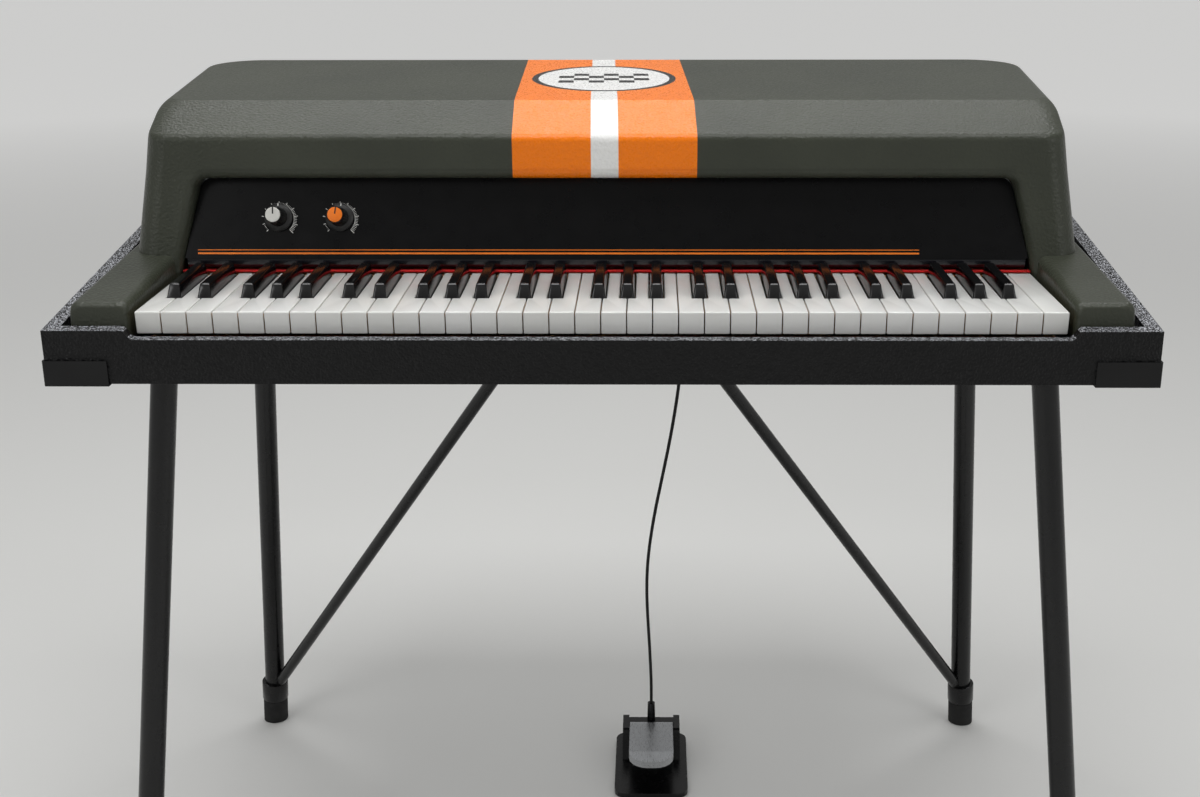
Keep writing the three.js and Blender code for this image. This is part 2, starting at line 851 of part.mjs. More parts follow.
// Outline of the opening in the x-z plane, grown all round
function openingOutline(grow, steps) {
  const top = openingTop + grow;
  const halfAt = (z) => openingHalf + openingDraft_share * (openingTop - z) + grow;
  const bottom = caseBottom - overrun;
  const corners = [[-halfAt(bottom), bottom], [halfAt(bottom), bottom], [halfAt(top), top], [-halfAt(top), top]];
  return rounded(corners, [0, 0, openingCorner + grow, openingCorner + grow], steps);
}

// The same outline at a distance behind the lip of the hood, leaning as the face does
function openingRing(y, grow) {
  return openingOutline(grow, 4).map(([x, z]) => (
    new THREE.Vector3(x, y - hoodFootLean_share * (hoodLipHeight - z), z)
  ));
}

function openingCutter() {
  const rings = [openingRing(armFront, openingRoll)];
  const rollSteps = 4;
  for (let i = 0; i <= rollSteps; i += 1) {
    const turn = (i / rollSteps) * (Math.PI / 2);
    rings.push(openingRing(
      hoodFrontLine + openingRoll * (1 - Math.cos(turn)),
      openingRoll * (1 - Math.sin(turn)),
    ));
  }
  rings.push(openingRing(flangeRear + overrun, 0));
  return loft(rings);
}

// One section of an arm in the x-z plane, drawn in by its skin and by the rounding of its front end
function armRing(y, skin, inset, steps) {
  const top = armTopFront + armTopRise_share * (y - armFront) - skin - inset;
  const bottom = caseBottom;
  const left = armInner + skin + inset;
  const outerAt = (z) => armOuter - armOuterDraft_share * (z - bottom) - skin - inset;
  const corners = [[left, bottom], [outerAt(bottom), bottom], [outerAt(top), top], [left, top]];
  return rounded(corners, [0, 0, armEdge - skin, armEdge - skin], steps)
    .map(([x, z]) => new THREE.Vector3(x, y, z));
}

function armOutside() {
  const rings = [];
  const steps = 3;
  for (let i = 0; i <= steps; i += 1) {
    const turn = (i / steps) * (Math.PI / 2);
    rings.push(armRing(
      armFront + armEdge * (1 - Math.cos(turn)) ,
      0,
      (armEdge / 2) * (1 - Math.sin(turn)),
      3,
    ));
  }
  rings.push(armRing(armRear, 0, 0, 3));
  return loft(rings);
}

function armInside() {
  return loft([armRing(armFront + hoodSkin, hoodSkin, 0, 1), armRing(armRear - hoodSkin, hoodSkin, 0, 1)]);
}

function hood() {
  const outside = loft(hoodLevels(4).map((level) => hoodRing(level, 0, 4)));
  const innerLevels = hoodLevels(2).map((level) => level - hoodSkin);
  innerLevels[0] -= overrun;
  const inside = loft(innerLevels.map((level) => hoodRing(level, hoodSkin, 2)));
  const returnLip = loft([
    openingRing(hoodFrontLine + hoodSkin / 2, hoodSkin),
    openingRing(flangeRear, hoodSkin),
  ]);
  const shell = join([outside.subtract(inside), returnLip]).subtract(openingCutter());
  const arm = armOutside().subtract(armInside()).subtract(inside);
  const openShell = shell.subtract(armInside()).subtract(mirrored(armInside()));
  const underside = [
    [armFront - overrun, ledgeAt(armFront - overrun) + seat],
    [caseRear, ledgeAt(caseRear) + seat],
    [caseRear, caseBottom - overrun - overrun],
    [armFront - overrun, caseBottom - overrun - overrun],
  ];
  const below = prismX(underside, -caseHalf, caseHalf);
  return mesh('hood', join([openShell, arm, mirrored(arm)]).subtract(below), materials.shell);
}

// Name panel, drawn upright: its face is y = 0 and its foot z = 0

function panelHalfAt(height) {
  const z = panelFootHeight + height * Math.cos(panelLean);
  return openingHalf + openingDraft_share * (openingTop - z) - panelGap;
}

function namePanel() {
  const top = (openingTop - panelGap - panelFootHeight) / Math.cos(panelLean);
  const corners = [
    [-panelHalfAt(lipCentre), lipCentre],
    [panelHalfAt(lipCentre), lipCentre],
    [panelHalfAt(top), top],
    [-panelHalfAt(top), top],
  ];
  const sheet = prismY(rounded(corners, [0, 0, openingCorner, openingCorner], 4), 0, panelSheet);
  const lipHalf = panelHalfAt(lipCentre + lipRadius) - seat;
  const lip = rod(
    new THREE.Vector3(-lipHalf, lipRadius, lipCentre),
    new THREE.Vector3(lipHalf, lipRadius, lipCentre),
    lipRadius,
    lipRadius,
    16,
  );
  const holes = [volumePlace, tonePlace].map((place) => rod(
    new THREE.Vector3(place, -overrun, knobHeight),
    new THREE.Vector3(place, overrun, knobHeight),
    panelHoleRadius,
    panelHoleRadius,
    16,
  ));
  return mesh('name_panel', holes.reduce((rest, hole) => rest.subtract(hole), join([sheet, lip])), materials.panel);
}

// Fluted knob turned about z, skirt down, with its shaft below the skirt
function knobShape() {
  const flutes = [];
  for (let i = 0; i < knobFlutes; i += 1) {
    const turn = (i / knobFlutes) * 2 * Math.PI;
    const step = (Math.PI * 2) / knobFlutes;
    [[0, knobBodyRadius], [0.5, knobBodyRadius], [0.75, knobBodyRadius - knobFlute]].forEach(([share, radius]) => {
      flutes.push([radius * Math.cos(turn + share * step), radius * Math.sin(turn + share * step)]);
    });
  }
  const bodyRing = (z, share) => flutes.map(([x, y]) => new THREE.Vector3(x * share, y * share, z));
  const body = loft([bodyRing(knobSkirt - seat, 1), bodyRing(knobLength - knobCap, knobTopRadius / knobBodyRadius)]);
  const skirt = turned(
    [[0, 0], [knobSkirtRadius, 0], [knobSkirtRadius, knobSkirt / 2], [knobBodyRadius, knobSkirt], [0, knobSkirt]],
    20,
  );
  const cap = turned([[0, knobSkirt], [knobCapRadius, knobSkirt], [knobCapRadius, knobLength], [0, knobLength]], 16);
  const shaftEnd = -knobClearance - panelSheet - shaftDepth / 2;
  const shaft = turned([[0, shaftEnd], [shaftRadius, shaftEnd], [shaftRadius, knobSkirt], [0, knobSkirt]], 12);
  return join([skirt, body, cap, shaft]);
}

function knob(name, place) {
  const node = mesh(name, knobShape(), materials.plastic);
  node.position.set(place, -knobClearance, knobHeight);
  node.rotation.x = Math.PI / 2;
  return node;
}

// Circuit board with two potentiometers that the knob shafts reach into
function controlBoard() {
  const potFront = panelSheet + seat;
  const potRear = potFront + potLength;
  const places = [volumePlace, tonePlace];
  const board = box(
    [volumePlace - boardMargin - potRadius, tonePlace + boardMargin + potRadius],
    [potRear - seat, potRear + boardSheet],
    [knobHeight - boardMargin, knobHeight + boardMargin],
  );
  const at = (place, y) => new THREE.Vector3(place, y, knobHeight);
  const pots = places.map((place) => rod(at(place, potFront), at(place, potRear), potRadius, potRadius, 16));
  const bores = places.map((place) => (
    rod(at(place, potFront - overrun), at(place, potFront + shaftDepth / 2), shaftRadius + seat, shaftRadius + seat, 12)
  ));
  return mesh('control_board', bores.reduce((rest, bore) => rest.subtract(bore), join([board, ...pots])), materials.board);
}

function panelGroup() {
  const group = new THREE.Group();
  group.position.set(0, panelFootLine, panelFootHeight);
  group.rotation.x = -panelLean;
  group.add(namePanel(), knob('volume_knob', volumePlace), knob('tone_knob', tonePlace), controlBoard());
  return group;
}

// Felt that closes the gap between the panel lip and the keys
function feltStrip() {
  const lipBottom = panelFootHeight + lipCentre * Math.cos(panelLean) - lipRadius * Math.sin(panelLean) - lipRadius;
  const top = lipBottom - seat;
  const strip = box([-feltHalf, feltHalf], [feltFront, feltFront + feltWidth], [top - feltThickness, top]);
  return mesh('felt_strip', strip, materials.felt);
}

// Action

// Back of the name panel at a height, in the upright frame of the instrument
function panelBackAt(z) {
  const along = (z - panelFootHeight + panelSheet * Math.sin(panelLean)) / Math.cos(panelLean);
  return panelFootLine + along * Math.sin(panelLean) + panelSheet * Math.cos(panelLean);
}

// Cheek plate on a foot, with a return behind the name panel and a cleat that the panel leans on
function actionBracket(name, side) {
  const bottom = floorTop + seat;
  const outline = [
    [bracketFront, bottom],
    [bracketFront + bracketLegLength, bottom],
    [bracketFront + bracketLegLength + bracketArch, bracketArch],
    [bracketRear - bracketLegLength - bracketArch, bracketArch],
    [bracketRear - bracketLegLength, bottom],
    [bracketRear, bottom],
    [bracketRear, bracketTop],
    [bracketFront, bracketTop],
  ];
  const outer = bracketInner + bracketSheet;
  const cheek = prismX(outline, bracketInner, outer);
  const feet = [bracketFront, bracketRear - bracketLegLength].map((from) => (
    box([bracketInner, outer + bracketFoot], [from, from + bracketLegLength], [bottom, bottom + bracketFootSheet])
  ));
  const returnPlate = box(
    [outer - bracketReturn, outer],
    [bracketFront, bracketFront + bracketSheet],
    [bracketReturnFoot, bracketTop],
  );
  const cleat = prismX(
    [
      [panelBackAt(cleatBottom) + seat, cleatBottom],
      [bracketFront + seat, cleatBottom],
      [bracketFront + seat, cleatTop],
      [panelBackAt(cleatTop) + seat, cleatTop],
    ],
    cleatTo - cleatWidth,
    cleatTo,
  );
  const bore = rod(
    new THREE.Vector3(bracketInner - overrun, damperLine, damperHeight),
    new THREE.Vector3(outer + overrun, damperLine, damperHeight),
    damperPinRadius + seat,
    damperPinRadius + seat,
    12,
  );
  const shape = join([cheek, ...feet, returnPlate, cleat]).subtract(bore);
  return mesh(name, side > 0 ? shape : mirrored(shape), materials.aluminium);
}

function hammerRail() {
  const end = bracketInner - seat;
  const rail = box(
    [-end, end],
    [hammerRailFront, hammerRailFront + hammerRailWidth],
    [hammerRailBottom, hammerRailTop],
  );
  const outline = [
    [hammerRailFront + seat, hammerCamBelly - pedestalHeight],
    [hammerRailFront + seat, hammerButt],
    [hammerHeadRear, hammerWaist],
    [hammerHeadRear, hammerTop],
    [hammerHeadFront, hammerTop],
    [hammerHeadFront, hammerNeck],
    [hammerCamFront, hammerCamBottom],
    [hammerCamRear, hammerCamBottom],
  ];
  const hammers = keys.map((key) => prismX(outline, key.tail - hammerWidth / 2, key.tail + hammerWidth / 2));
  return mesh('hammer_rail', join([rail, ...hammers]), materials.plastic);
}

// Release bar that turns on two end pins and carries one damper for each tine
function damperRail() {
  const end = bracketInner - seat;
  const bar = box(
    [-end, end],
    [damperLine - damperBarWidth / 2, damperLine + damperBarWidth / 2],
    [damperHeight - damperBarHeight / 2, damperHeight + damperBarHeight / 2],
  );
  const pinEnd = bracketInner + bracketSheet;
  const pins = rod(
    new THREE.Vector3(-pinEnd, damperLine, damperHeight),
    new THREE.Vector3(pinEnd, damperLine, damperHeight),
    damperPinRadius,
    damperPinRadius,
    12,
  );
  const root = damperLine - damperBarWidth / 2;
  const arms = keys.map((key) => {
    const line = scaled(key, damperBassLine, damperTrebleLine);
    const [front, rear] = [line - damperFeltLength / 2, line + damperFeltLength / 2];
    const outline = [
      [front, damperFeltBottom],
      [rear, damperFeltBottom - damperArmSheet],
      [root + seat, damperHeight - damperArmSheet / 2],
      [root + seat, damperHeight + damperArmSheet / 2],
      [rear, damperFeltBottom + seat],
      [rear, damperFeltTop],
      [front, damperFeltTop],
    ];
    return prismX(outline, key.tail - damperArmWidth / 2, key.tail + damperArmWidth / 2);
  });
  return mesh('damper_rail', join([bar, pins, ...arms]), materials.aluminium);
}

// Slanting board in plan, between the harp's side rails
function slantBoard(bassLine, trebleLine, width, bottom, top, end) {
  return prismZ(
    [
      [-end, bassLine - width / 2],
      [end, trebleLine - width / 2],
      [end, trebleLine + width / 2],
      [-end, bassLine + width / 2],
    ],
    bottom,
    top,
  );
}

// Wooden frame with a slanting rail that carries a tone bar, block and tine for each key
function harpFrame() {
  const inner = harpHalf - harpSide;
  const half = toneRailWidth / 2;
  const board = box([-harpHalf, harpHalf], [harpFront, harpRear], [harpBottom, harpTop]);
  const below = harpBottom - overrun;
  const above = harpTop + overrun;
  const frontOpening = prismZ(
    [
      [-inner, harpFront - overrun],
      [inner, harpFront - overrun],
      [inner, toneRailTreble - half],
      [-inner, toneRailBass - half],
    ],
    below,
    above,
  );
  const rearOpening = prismZ(
    [
      [-inner, toneRailBass + half],
      [inner, toneRailTreble + half],
      [inner, harpRear - harpSide],
      [-inner, harpRear - harpSide],
    ],
    below,
    above,
  );
  const frame = board.subtract(frontOpening).subtract(rearOpening);
  const generators = keys.map((key) => {
    const line = scaled(key, toneRailBass, toneRailTreble);
    const blockFront = line - toneBlockSetback;
    const length = scaled(key, toneBarBass, toneBarTreble);
    const barTop = harpTop + toneBarSheet;
    const tineEnd = scaled(key, tineBassEnd, tineTrebleEnd);
    const outline = [
      [blockFront, tineHeight - tineSection],
      [blockFront + toneBlock, tineHeight - tineSection],
      [blockFront + toneBlock, tineHeight - tineSection / 2],
      [tineEnd, tineHeight - tineSection / 2],
      [tineEnd, tineHeight + tineSection / 2],
      [blockFront + toneBlock, tineHeight + tineSection / 2],
      [blockFront + toneBlock, harpTop - seat],
      [blockFront + length, harpTop - seat],
      [blockFront + length, barTop],
      [blockFront, barTop],
    ];
    return prismX(outline, key.tail - toneBarWidth / 2, key.tail + toneBarWidth / 2);
  });
  return mesh('harp_frame', join([frame, ...generators]), materials.steel);
}

function pickupRail() {
  const offset = pickupGap + pickupLength / 2;
  const end = harpHalf - harpSide - seat;
  const rail = slantBoard(
    tineBassEnd + offset,
    tineTrebleEnd + offset,
    pickupRailWidth,
    pickupRailBottom,
    pickupRailTop,
    end,
  );
  const coils = keys.map((key) => {
    const front = scaled(key, tineBassEnd, tineTrebleEnd) + pickupGap;
    return box(
      [key.tail - pickupWidth / 2, key.tail + pickupWidth / 2],
      [front, front + pickupLength],
      [pickupBottom, pickupRailBottom + seat],
    );
  });
  return mesh('pickup_rail', join([rail, ...coils]), materials.blackSteel);
}

// Legs

const frontLegTop = [legFrontPlace, legFrontLine];
const frontLegFoot = [legFrontPlace + legFrontSplay, legFrontLine - legFrontReach];
const rearLegTop = [legRearPlace, legRearLine];
const rearLegFoot = [legRearPlace + legRearSplay, legRearLine + legRearReach];
const legs = [
  { corner: 'front_left', side: -1, top: frontLegTop, foot: frontLegFoot },
  { corner: 'front_right', side: 1, top: frontLegTop, foot: frontLegFoot },
  { corner: 'rear_left', side: -1, top: rearLegTop, foot: rearLegFoot },
  { corner: 'rear_right', side: 1, top: rearLegTop, foot: rearLegFoot },
];

// Point on a leg's axis at a height, on the right-hand side of the piano
function onLeg(leg, z) {
  const share = (caseBottom - z) / standHeight;
  const x = leg.top[0] + share * (leg.foot[0] - leg.top[0]);
  const y = leg.top[1] + share * (leg.foot[1] - leg.top[1]);
  return new THREE.Vector3(x, y, z);
}

function sided(leg, shape) {
  return leg.side > 0 ? shape : mirrored(shape);
}

function legFlange(leg) {
  const plateTop = caseBottom - seat;
  const plateBottom = plateTop - flangeSheet;
  const half = flangeWidth / 2;
  const [x, y] = leg.top;
  const corners = rectangle([x - half, x + half], [y - half, y + half]);
  const plate = prismZ(rounded(corners, corners.map(() => flangeCorner), 3), plateBottom, plateTop);
  const end = onLeg(leg, plateBottom - socketLength);
  const socket = rod(onLeg(leg, caseBottom + overrun), end, socketRadius, socketRadius, legSides);
  const above = box([x - flangeWidth, x + flangeWidth], [y - flangeWidth, y + flangeWidth], [plateTop, caseBottom + 2 * overrun]);
  const bore = rod(
    onLeg(leg, plateBottom),
    onLeg(leg, plateBottom - socketLength - overrun),
    legRadius + seat,
    legRadius + seat,
    legSides,
  );
  const shape = join([plate, socket]).subtract(above).subtract(bore);
  return mesh(`leg_flange_${leg.corner}`, sided(leg, shape), materials.blackSteel);
}

function legTube(leg) {
  const top = caseBottom - seat - flangeSheet - seat;
  const outside = rod(onLeg(leg, top), onLeg(leg, ground + footSole + seat), legRadius, legRadius, legSides);
  const inner = legRadius - legWall;
  const inside = rod(onLeg(leg, caseBottom), onLeg(leg, ground), inner, inner, legSides);
  return mesh(`leg_${leg.corner}`, sided(leg, outside.subtract(inside)), materials.blackSteel);
}

function legFoot(leg) {
  const cup = rod(onLeg(leg, ground + footHeight), onLeg(leg, ground - overrun), footRadius, footRadius, legSides);
  const bore = rod(onLeg(leg, ground + footHeight + overrun), onLeg(leg, ground + footSole), legRadius + seat, legRadius + seat, legSides);
  const [x, y] = leg.foot;
  const under = box([x - flangeWidth, x + flangeWidth], [y - flangeWidth, y + flangeWidth], [ground - 2 * overrun, ground]);
  return mesh(`foot_${leg.corner}`, sided(leg, cup.subtract(bore).subtract(under)), materials.rubber);
}

// Braces from a plate under the case to a clamp low on each rear leg
const rearLeg = legs[3];
const braceTop = new THREE.Vector3(bracePlace, braceLine, caseBottom);
const braceFoot = onLeg(rearLeg, ground + braceFootHeight);

function onBrace(distance) {
  const run = braceFoot.clone().sub(braceTop).normalize();
  return braceTop.clone().add(run.multiplyScalar(distance));
}

function braceBracket() {
  const plateTop = caseBottom - seat;
  const plateBottom = plateTop - flangeSheet;
  const [halfX, halfY] = [bracePlateWidth / 2, bracePlateDepth / 2];
  const corners = rectangle([-halfX, halfX], [braceLine - halfY, braceLine + halfY]);
  const plate = prismZ(rounded(corners, corners.map(() => flangeCorner), 3), plateBottom, plateTop);
  const socket = rod(onBrace(-overrun), onBrace(braceSocketLength), braceSocketRadius, braceSocketRadius, braceSides);
  const above = box([-caseHalf, caseHalf], [0, caseRear], [plateTop, caseBottom + overrun * 2]);
  const bore = rod(onBrace(braceSocketRadius), onBrace(braceSocketLength + overrun), braceRadius + seat, braceRadius + seat, braceSides);
  const socketCut = socket.subtract(above).subtract(bore);
  const plateCut = plate.subtract(bore).subtract(mirrored(bore));
  return mesh('brace_bracket', join([plateCut, socketCut, mirrored(socketCut)]), materials.blackSteel);
}

function brace(name, side) {
  const clampHalf = clampLength / 2;
  const ringTop = onLeg(rearLeg, braceFoot.z + clampHalf);
  const ringBottom = onLeg(rearLeg, braceFoot.z - clampHalf);
  const clampRadius = legRadius + seat + clampWall;
  const ring = rod(ringTop, ringBottom, clampRadius, clampRadius, legSides);
  const reach = 2 * clampLength;
  const bore = rod(
    onLeg(rearLeg, braceFoot.z + reach),
    onLeg(rearLeg, braceFoot.z - reach),
    legRadius + seat,
    legRadius + seat,
    legSides,
  );
  const length = braceFoot.distanceTo(braceTop);
  const tube = rod(onBrace(braceSocketRadius + seat * 2), onBrace(length), braceRadius, braceRadius, braceSides);
  const shape = join([tube, ring]).subtract(bore);
  return mesh(name, side > 0 ? shape : mirrored(shape), materials.blackSteel);
}

// Pedal

function pedalBase() {
  const half = pedalBaseWidth / 2;
  const corners = rectangle([-half, half], [pedalFront, pedalRear]);
  const plate = prismZ(rounded(corners, corners.map(() => pedalBaseCorner), 4), 0, pedalBaseSheet);
  const cheekInner = pedalLeverWidth / 2 + keyGap;
  const cheekY = [pedalHingeLine - pedalCheekLength / 2, pedalRear - pedalBlockLength];
  const cheekTop = rounded(
    [
      [cheekY[0] - pedalCheekLength / 2, pedalBaseSheet - seat],
      [cheekY[1], pedalBaseSheet - seat],
      [cheekY[1], pedalCheekHeight],
      [cheekY[0], pedalCheekHeight],
    ],
    [0, 0, pedalPinRadius, pedalBoss],
    3,
  );
  const cheek = prismX(cheekTop, cheekInner, cheekInner + pedalCheekWidth);
  const pinEnd = cheekInner + pedalCheekWidth / 2;
  const pin = rod(
    new THREE.Vector3(-pinEnd, pedalHingeLine, pedalHingeHeight),
    new THREE.Vector3(pinEnd, pedalHingeLine, pedalHingeHeight),
    pedalPinRadius,
    pedalPinRadius,
    12,
  );
  const rearBlock = box(
    [-cheekInner - pedalCheekWidth, cheekInner + pedalCheekWidth],
    [pedalRear - pedalBlockLength - pedalPinRadius, pedalRear - pedalPinRadius],
    [pedalBaseSheet - seat, pedalHingeHeight],
  );
  const ferrule = rod(
    new THREE.Vector3(0, ferruleLine, pedalBaseSheet - seat),
    new THREE.Vector3(0, ferruleLine, ferruleHeight),
    ferruleRadius,
    ferruleRadius * 0.8,
    12,
  );
  const node = mesh('pedal_base', join([plate, cheek, mirrored(cheek), pin, rearBlock, ferrule]), materials.blackSteel);
  node.position.set(pedalPlace, 0, ground);
  return node;
}

function pedalLever() {
  const half = pedalLeverWidth / 2;
  const toeTop = pedalToeHeight;
  const toeBottom = pedalToeHeight - pedalLeverSheet;
  const hingeTop = pedalHingeHeight + pedalBoss;
  const side = [
    [pedalToeLine, toeBottom],
    [pedalToeLine + pedalToeRadius, toeBottom - seat],
    [pedalHingeLine - pedalBoss, hingeTop - pedalLeverSheet],
    [pedalHingeLine, hingeTop - pedalLeverSheet],
    [pedalHingeLine, hingeTop],
    [pedalToeLine + pedalToeRadius, toeTop],
    [pedalToeLine, toeTop - seat],
  ];
  const blade = prismX(side, -half, half);
  const corners = rectangle([-half, half], [pedalToeLine - seat, pedalHingeLine + overrun]);
  const plan = prismZ(rounded(corners, [pedalToeRadius, pedalToeRadius, 0, 0], 5), 0, pedalToeHeight + overrun);
  const along = (x) => new THREE.Vector3(x, pedalHingeLine, pedalHingeHeight);
  const boss = rod(along(-half), along(half), pedalBoss, pedalBoss, 16);
  const bore = rod(along(-half - overrun), along(half + overrun), pedalPinRadius + seat, pedalPinRadius + seat, 12);
  const node = mesh('pedal_lever', blade.intersect(plan).add(boss).subtract(bore), materials.steel);
  node.position.set(pedalPlace, 0, ground);
  return node;
}

function pedalCable() {
  const path = new THREE.CatmullRomCurve3(cableRoute.map((point) => new THREE.Vector3(...point)));
  const section = new THREE.Shape();
  for (let i = 0; i < cableSides; i += 1) {
    const turn = (i / cableSides) * 2 * Math.PI;
    const [x, y] = [Math.cos(turn), Math.sin(turn)].map((value) => (value * cableDiameter) / 2);
    if (i === 0) section.moveTo(x, y);
    else section.lineTo(x, y);
  }
  const geometry = new THREE.ExtrudeGeometry(section, { steps: cableSteps, extrudePath: path, curveSegments: 1 });
  return mesh('pedal_cable', facingOut(geometry), materials.rubber);
}

// Threaded gland under the case, with a nut above and a nose below
function cableGland() {
  const nutBottom = caseBottom - seat - glandNut;
  const profile = [
    [0, nutBottom - glandNose],
    [glandNoseRadius * 0.7, nutBottom - glandNose],
    [glandNoseRadius, nutBottom],
    [glandNutRadius, nutBottom],
    [glandNutRadius, caseBottom - seat],
    [glandStemRadius, caseBottom - seat],
    [glandStemRadius, floorTop + seat],
    [glandNutRadius, floorTop + seat],
    [glandNutRadius, floorTop + glandNut / 2],
    [glandStemRadius, floorTop + glandNut / 2],
    [glandStemRadius, floorTop + glandNut],
    [0, floorTop + glandNut],
  ];
  const node = mesh('cable_gland', turned(profile, 12), materials.plastic);
  node.position.set(glandPlace, glandLine, 0);
  return node;
}

// Socket in the rear board: nut outside, threaded bush, body inside and a bore for the plug
function outputJack() {
  const outerFace = caseRear + seat;
  const innerFace = caseRear - caseWall - seat;
  const at = (y) => new THREE.Vector3(0, y, 0);
  const nut = rod(at(outerFace), at(outerFace + jackNut), jackNutRadius, jackNutRadius, 6);
  const bush = rod(at(innerFace - seat), at(outerFace + seat), jackRadius, jackRadius, legSides);
  const body = box(
    [-jackBodyHalf, jackBodyHalf],
    [innerFace - jackBodyLength, innerFace],
    [-jackBodyHalf, jackBodyHalf],
  );
  const bore = rod(at(innerFace - jackBodyLength / 2), at(outerFace + overrun), jackBore, jackBore, legSides);
  const node = mesh('output_jack', join([nut, bush, body]).subtract(bore), materials.steel);
  node.position.set(jackPlace, 0, jackHeight);
  return node;
}

// The whole instrument, standing on z = 0 with the middle of its outline at the origin

const frontmost = caseFront - seat - protectorSheet;
const rearmost = caseRear + seat + jackNut;

const piano = new THREE.Group();
const standing = new THREE.Group();
standing.position.set(0, -(frontmost + rearmost) / 2, -ground);
piano.add(standing);

standing.add(
  caseTray(),
  cornerProtector('corner_protector_left', -1),
  cornerProtector('corner_protector_right', 1),
  hood(),
  panelGroup(),
  feltStrip(),
  keyFrame(),
  ...playedKeys(),
  actionBracket('action_bracket_left', -1),
  actionBracket('action_bracket_right', 1),
  hammerRail(),
  damperRail(),
  harpFrame(),
  pickupRail(),
  ...legs.map(legFlange),
  ...legs.map(legTube),
  ...legs.map(legFoot),
  braceBracket(),
  brace('brace_left', -1),
  brace('brace_right', 1),
  pedalBase(),
  pedalLever(),
  pedalCable(),
  cableGland(),
  outputJack(),
);

export default piano;
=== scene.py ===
import math

import bmesh
import bpy
from mathutils import Matrix, Vector


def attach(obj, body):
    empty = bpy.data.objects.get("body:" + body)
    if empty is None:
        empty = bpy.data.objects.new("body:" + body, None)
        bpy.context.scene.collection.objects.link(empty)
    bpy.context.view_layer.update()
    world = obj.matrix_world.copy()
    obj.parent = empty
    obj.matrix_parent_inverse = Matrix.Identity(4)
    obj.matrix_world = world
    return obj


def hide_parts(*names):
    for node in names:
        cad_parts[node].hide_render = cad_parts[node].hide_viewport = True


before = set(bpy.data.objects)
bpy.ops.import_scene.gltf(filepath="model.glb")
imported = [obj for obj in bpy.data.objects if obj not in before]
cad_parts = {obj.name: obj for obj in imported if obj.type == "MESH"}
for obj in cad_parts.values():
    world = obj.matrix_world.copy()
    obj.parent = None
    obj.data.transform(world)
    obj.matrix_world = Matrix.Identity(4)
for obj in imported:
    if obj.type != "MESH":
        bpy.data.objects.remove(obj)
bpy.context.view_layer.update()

# Drawing frame, in millimetres: z = 0 on the natural keys' tops, y = 0 on their fronts
MM = 0.001
SHIFT_Y = 275.4
GROUND = -713.5


def row(x, y, z):
    """A point of the drawing frame as a point of the row frame, in metres."""
    return Vector((x, y - SHIFT_Y, z - GROUND)) * MM


# Camera
CAMERA_PLACE = (45.88, -1330.63, 351.7)
CAMERA_YAW = -0.6416
CAMERA_PITCH = 18.048
CAMERA_ROLL = -0.1149
CAMERA_LENS = 45.7
CAMERA_SHIFT = -0.0292

camera_data = bpy.data.cameras.new("camera")
camera_data.lens = CAMERA_LENS
camera_data.sensor_width = 36.0
camera_data.shift_x = CAMERA_SHIFT
camera = bpy.data.objects.new("camera", camera_data)
camera.matrix_world = (
    Matrix.Translation(row(*CAMERA_PLACE))
    @ Matrix.Rotation(math.radians(-CAMERA_YAW), 4, "Z")
    @ Matrix.Rotation(math.radians(90 - CAMERA_PITCH), 4, "X")
    @ Matrix.Rotation(math.radians(CAMERA_ROLL), 4, "Z")
)
bpy.context.scene.collection.objects.link(camera)
bpy.context.scene.camera = camera


# Materials
def srgb(red, green, blue, alpha=1.0):
    """Eight-bit sRGB values as the linear colour that sockets take."""
    def linear(value):
        share = value / 255
        return share / 12.92 if share <= 0.04045 else ((share + 0.055) / 1.055) ** 2.4
    return (linear(red), linear(green), linear(blue), alpha)


class Nodes:
    """A node tree under construction, with short calls for its nodes."""

    def __init__(self, tree):
        self.tree = tree

    def feed(self, socket, value):
        if isinstance(value, bpy.types.NodeSocket):
            self.tree.links.new(value, socket)
        else:
            socket.default_value = value

    def node(self, kind, inputs=None, **settings):
        """The outputs of a new node whose inputs are given by name or number."""
        made = self.tree.nodes.new(kind)
        for key, value in settings.items():
            setattr(made, key, value)
        for key, value in (inputs or {}).items():
            self.feed(made.inputs[key], value)
        return made.outputs

    def math(self, operation, first, second=0.0, clamp=False):
        return self.node("ShaderNodeMath", {0: first, 1: second}, operation=operation, use_clamp=clamp)[0]

    def split(self, vector):
        return self.node("ShaderNodeSeparateXYZ", {0: vector})

    def ramp(self, value, low, high, to_low, to_high):
        return self.node("ShaderNodeMapRange", {"Value": value, "From Min": low, "From Max": high,
                                                "To Min": to_low, "To Max": to_high})[0]


